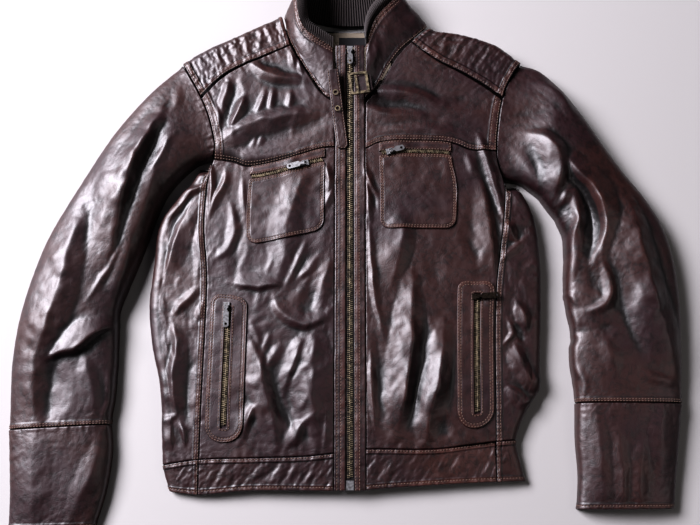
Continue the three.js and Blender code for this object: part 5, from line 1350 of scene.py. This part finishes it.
def add_flats():
    under = "leather_underside"
    for side, _ in SIDES:
        copy_of(f"sleeve_under_{side}", f"under_sleeve_{side}", under)
    copy_of("back_panel", "back", under)
    copy_of("hem_back", "back_hem", under)
    copy_of("lining_back_neck", "neck_lining", "lining")
    copy_of("neck_label", "blank_label", "label")


def dress_hardware():
    """The metal keeps its solids' shapes, with worn finishes and softened edges."""
    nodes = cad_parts
    for name in ("zip", "chest_zip_left", "chest_zip_right", "hand_zip_left", "hand_zip_right"):
        slot = "dark_bronze" if name == "hand_zip_right" else "nickel"
        dress(nodes[f"{name}_slider"], slot, 0.0006, 3)
        dress(nodes[f"{name}_pull"], slot, 0.00035, 3)
    dress(nodes["zip_box"], "nickel", 0.0006, 3)
    for name, width in (("buckle_frame", 0.0006), ("buckle_prong", 0.0006),
                        ("strap_eyelet_1", 0.00035), ("strap_eyelet_2", 0.00035)):
        dress(nodes[name], "antique_brass", width, 3)
    dress(nodes["buckle_tab"], "leather", 0.0007, 3)


# ---------------------------------------------------------------- materials
MATERIALS = {}


class Nodes:
    """Short hand for building a material's nodes."""

    def __init__(self, name):
        material = bpy.data.materials.new(name)
        material.use_nodes = True
        self.tree = material.node_tree
        self.tree.nodes.clear()
        self.body = self.tree.nodes.new("ShaderNodeBsdfPrincipled")
        out = self.tree.nodes.new("ShaderNodeOutputMaterial")
        self.tree.links.new(self.body.outputs[0], out.inputs[0])
        self.place = self.tree.nodes.new("ShaderNodeTexCoord").outputs["Object"]
        MATERIALS[name] = material

    def put(self, socket, value):
        if hasattr(value, "is_output"):
            self.tree.links.new(value, socket)
        else:
            socket.default_value = value

    def add(self, kind, inputs, output=0, **settings):
        """A node with its settings, its inputs filled or linked, and one of its outputs."""
        node = self.tree.nodes.new("ShaderNode" + kind)
        for name, value in settings.items():
            setattr(node, name, value)
        for name, value in inputs.items():
            self.put(node.inputs[name], value)
        return node.outputs[output]

    def noise(self, scale, detail, rough=0.55, distortion=0.0):
        inputs = {"Vector": self.place, "Scale": scale, "Detail": detail, "Roughness": rough,
                  "Distortion": distortion}
        return self.add("TexNoise", inputs, "Fac")

    def relief(self):
        """How far the mesh stands proud, with its seams' and edges' tones, kept with its points; it drives
        the painted shade in low places and the worn colour.
        """
        return self.add("Attribute", {}, "Fac", attribute_name="relief")

    def math(self, kind, a, b=0.0):
        return self.add("Math", {0: a, 1: b}, operation=kind)

    def about(self, value, share):
        """A noise's difference from its middle, times a share."""
        return self.math("MULTIPLY", self.math("SUBTRACT", value, 0.5), share)

    def scaled(self, start, value, share):
        return self.math("ADD", start, self.math("MULTIPLY", value, share))

    def between(self, value, low, high, to_low=0.0, to_high=1.0):
        inputs = dict(enumerate((value, low, high, to_low, to_high)))
        return self.add("MapRange", inputs, interpolation_type="SMOOTHSTEP")

    def net(self, scale, detail, distortion, wide):
        """0 along a net of fine lines and 1 between them."""
        off = self.math("SUBTRACT", self.noise(scale, detail, 0.6, distortion), 0.5)
        return self.between(self.math("ABSOLUTE", off), 0.0, wide)

    def blend(self, share, a, b):
        return self.add("Mix", {0: share, 6: (*a, 1) if isinstance(a, tuple) else a, 7: (*b, 1)}, 2,
                        data_type="RGBA")

    def bump(self, height, distance, strength, under=None):
        inputs = {"Strength": strength, "Distance": distance, "Height": height}
        if under:
            inputs["Normal"] = under
        return self.add("Bump", inputs)

    def set(self, **values):
        for name, value in values.items():
            self.put(self.body.inputs[name.replace("_", " ")], value)


def leather(name, cool, warm, wear_and_painted_sheen, dark, sheen):
    """Dark leather, cooler and warmer by patches, worn red along its laps and edges, with painted shade
    where its relief is low, and the worn colour also laid on as a painted sheen where the tone is pushed
    up.
    """
    n = Nodes(name)
    relief = n.relief()
    cloud = n.noise(9, 5)
    mottle = n.noise(70, 5)
    wear_and_sheen = n.math("ADD", n.math("ADD", relief, n.about(cloud, 1.3)), n.about(mottle, 1.1))
    tint = n.blend(n.between(cloud, 0.4, 0.62), cool, warm)
    tint = n.blend(n.between(wear_and_sheen, 0.3, 1.5), tint, wear_and_painted_sheen)
    # Painted shade: where the relief is low the leather goes to the dark colour.
    tint = n.blend(n.between(relief, -0.1, -1.1), tint, dark)
    # A net of fine dark creases at two sizes, then the grain.
    lines, small = n.net(34, 4, 1.2, 0.05), n.net(110, 3, 1.0, 0.07)
    tint = n.blend(n.between(lines, 0.5, 0.0, 0.0, 0.5), tint, dark)
    tint = n.blend(n.between(mottle, 0.5, 0.3, 0.0, 0.45), tint, dark)
    normal = n.bump(lines, 0.0005, 0.14)
    normal = n.bump(small, 0.0003, 0.12, normal)
    normal = n.bump(n.noise(40, 4, 0.5), 0.003, 0.13, normal)
    cells = n.add("TexVoronoi", {"Vector": n.place, "Scale": 950}, "Distance")
    normal = n.bump(cells, 0.0003, 0.18, normal)
    n.set(Base_Color=tint, Roughness=n.scaled(0.40, mottle, 0.22), Normal=normal, Specular_IOR_Level=0.75,
          Coat_Weight=sheen, Coat_Roughness=0.34)


def metal(name, scale, high, first, second, metallic, rough, spread):
    """Worn metal: two tones by patches, and a roughness that goes with them."""
    n = Nodes(name)
    tone = n.noise(scale, 4)
    n.set(Base_Color=n.blend(n.between(tone, 0.35, high), first, second), Metallic=metallic,
          Roughness=n.scaled(rough, tone, spread))


def cloth(name, colour, rough, bump):
    n = Nodes(name)
    n.set(Base_Color=(*colour, 1), Roughness=rough, Normal=n.bump(n.noise(900, 2), *bump))


def make_materials():
    # Leather's colours: cool, warm, worn (also a painted sheen on the right hem band), dark (also the
    # painted shade in low places), then the coat.
    leather("leather", (0.0215, 0.0056, 0.0074), (0.031, 0.0082, 0.0062), (0.060, 0.0185, 0.0120),
            (0.0030, 0.0015, 0.0015), 0.3)
    leather("leather_underside", (0.02, 0.011, 0.01), (0.028, 0.016, 0.013), (0.06, 0.03, 0.022),
            (0.006, 0.004, 0.004), 0.1)

    n = Nodes("thread")
    n.set(Base_Color=n.blend(n.noise(300, 2), (0.09, 0.058, 0.045), (0.21, 0.14, 0.105)), Roughness=0.6)

    n = Nodes("rib_knit")
    fuzz = n.noise(900, 4)
    # Painted light on the rib: lighter on the ribs and a painted shade between them, by the rib's rise.
    tint = n.blend(n.between(n.relief(), -0.7, 0.7), (0.008, 0.006, 0.006), (0.050, 0.037, 0.035))
    tint = n.blend(n.math("MULTIPLY", fuzz, 0.5), tint, (0.02, 0.016, 0.015))
    n.set(Base_Color=tint, Roughness=0.92, Normal=n.bump(fuzz, 0.0006, 0.7), Sheen_Weight=0.25)

    n = Nodes("lining")
    tint = n.blend(n.noise(40, 4), (0.20, 0.165, 0.125), (0.34, 0.285, 0.22))
    n.set(Base_Color=tint, Roughness=0.7, Normal=n.bump(n.noise(700, 2), 0.0003, 0.4))

    cloth("label", (0.009, 0.008, 0.010), 0.7, (0.0002, 0.4))
    cloth("tape", (0.012, 0.010, 0.010), 0.85, (0.0003, 0.5))
    metal("antique_brass", 260, 0.65, (0.07, 0.058, 0.042), (0.30, 0.25, 0.165), 0.6, 0.28, 0.3)
    metal("nickel", 320, 0.7, (0.52, 0.52, 0.53), (0.20, 0.195, 0.19), 0.75, 0.22, 0.25)
    metal("dark_bronze", 320, 0.7, (0.09, 0.07, 0.055), (0.03, 0.024, 0.02), 0.9, 0.28, 0.25)
    Nodes("floor").set(Base_Color=(0.42, 0.41, 0.40, 1), Roughness=0.75)


# ---------------------------------------------------------------- stage
FLOOR_HALF = 6.0


def add_stage():
    mesh = bpy.data.meshes.new("floor")
    corners = [(x * FLOOR_HALF, y * FLOOR_HALF, 0) for x, y in ((-1, -1), (1, -1), (1, 1), (-1, 1))]
    mesh.from_pydata(corners, [], [(0, 1, 2, 3)])
    floor = bpy.data.objects.new("floor", mesh)
    floor.location.z = -0.0005
    floor.data.materials.append(MATERIALS["floor"])
    bpy.context.scene.collection.objects.link(floor)

    def area_light(name, spot, size_x, size_y, power, colour):
        data = bpy.data.lights.new(name, "AREA")
        data.shape = "RECTANGLE"
        data.size, data.size_y, data.energy, data.color = size_x, size_y, power, colour
        lamp = bpy.data.objects.new(name, data)
        lamp.location = spot
        lamp.rotation_euler = (Vector((0, 0, 0)) - Vector(spot)).to_track_quat("-Z", "Y").to_euler()
        bpy.context.scene.collection.objects.link(lamp)

    area_light("window", (-2.3, 1.25, 2.1), 2.0, 1.5, 262, (0.95, 0.92, 1.0))
    area_light("fill", (1.6, -0.4, 1.6), 1.4, 1.0, 5, (1.0, 0.93, 0.92))
    world = bpy.data.worlds.new("room")
    world.use_nodes = True
    world.node_tree.nodes["Background"].inputs[0].default_value = (0.80, 0.84, 0.90, 1)
    world.node_tree.nodes["Background"].inputs[1].default_value = 0.035
    bpy.context.scene.world = world
    bpy.context.scene.view_settings.view_transform = "Standard"
    bpy.context.scene.view_settings.look = "High Contrast"


LOOK_FROM_UP = 13.2  # degrees that the camera leans back from straight down, towards the hem
LOOK_AWAY = 1.2


def add_camera():
    data = bpy.data.cameras.new("camera")
    data.lens = 45
    data.sensor_width = 36
    camera = bpy.data.objects.new("camera", data)
    look = Vector((SHIFT[0] * MM, SHIFT[1] * MM, 0))
    lean = math.radians(LOOK_FROM_UP)
    camera.location = look + LOOK_AWAY * Vector((0, -math.sin(lean), math.cos(lean)))
    camera.rotation_euler = (lean, 0, 0)
    bpy.context.scene.collection.objects.link(camera)
    bpy.context.scene.camera = camera


make_materials()
for side, sign in SIDES:
    add_front(side, sign)
    add_chest(side, sign)
    add_side(side, sign)
    add_shoulder(side, sign)
    add_sleeve(side, sign)
    add_cuff(side)
    add_hem(side, sign)
    add_placket(side, sign)
    add_pockets(side, sign)
add_main_zip()
add_collar()
add_knit()
add_strap()
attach(stitch_mesh(), "jacket")
add_flats()
dress_hardware()
add_stage()
add_camera()
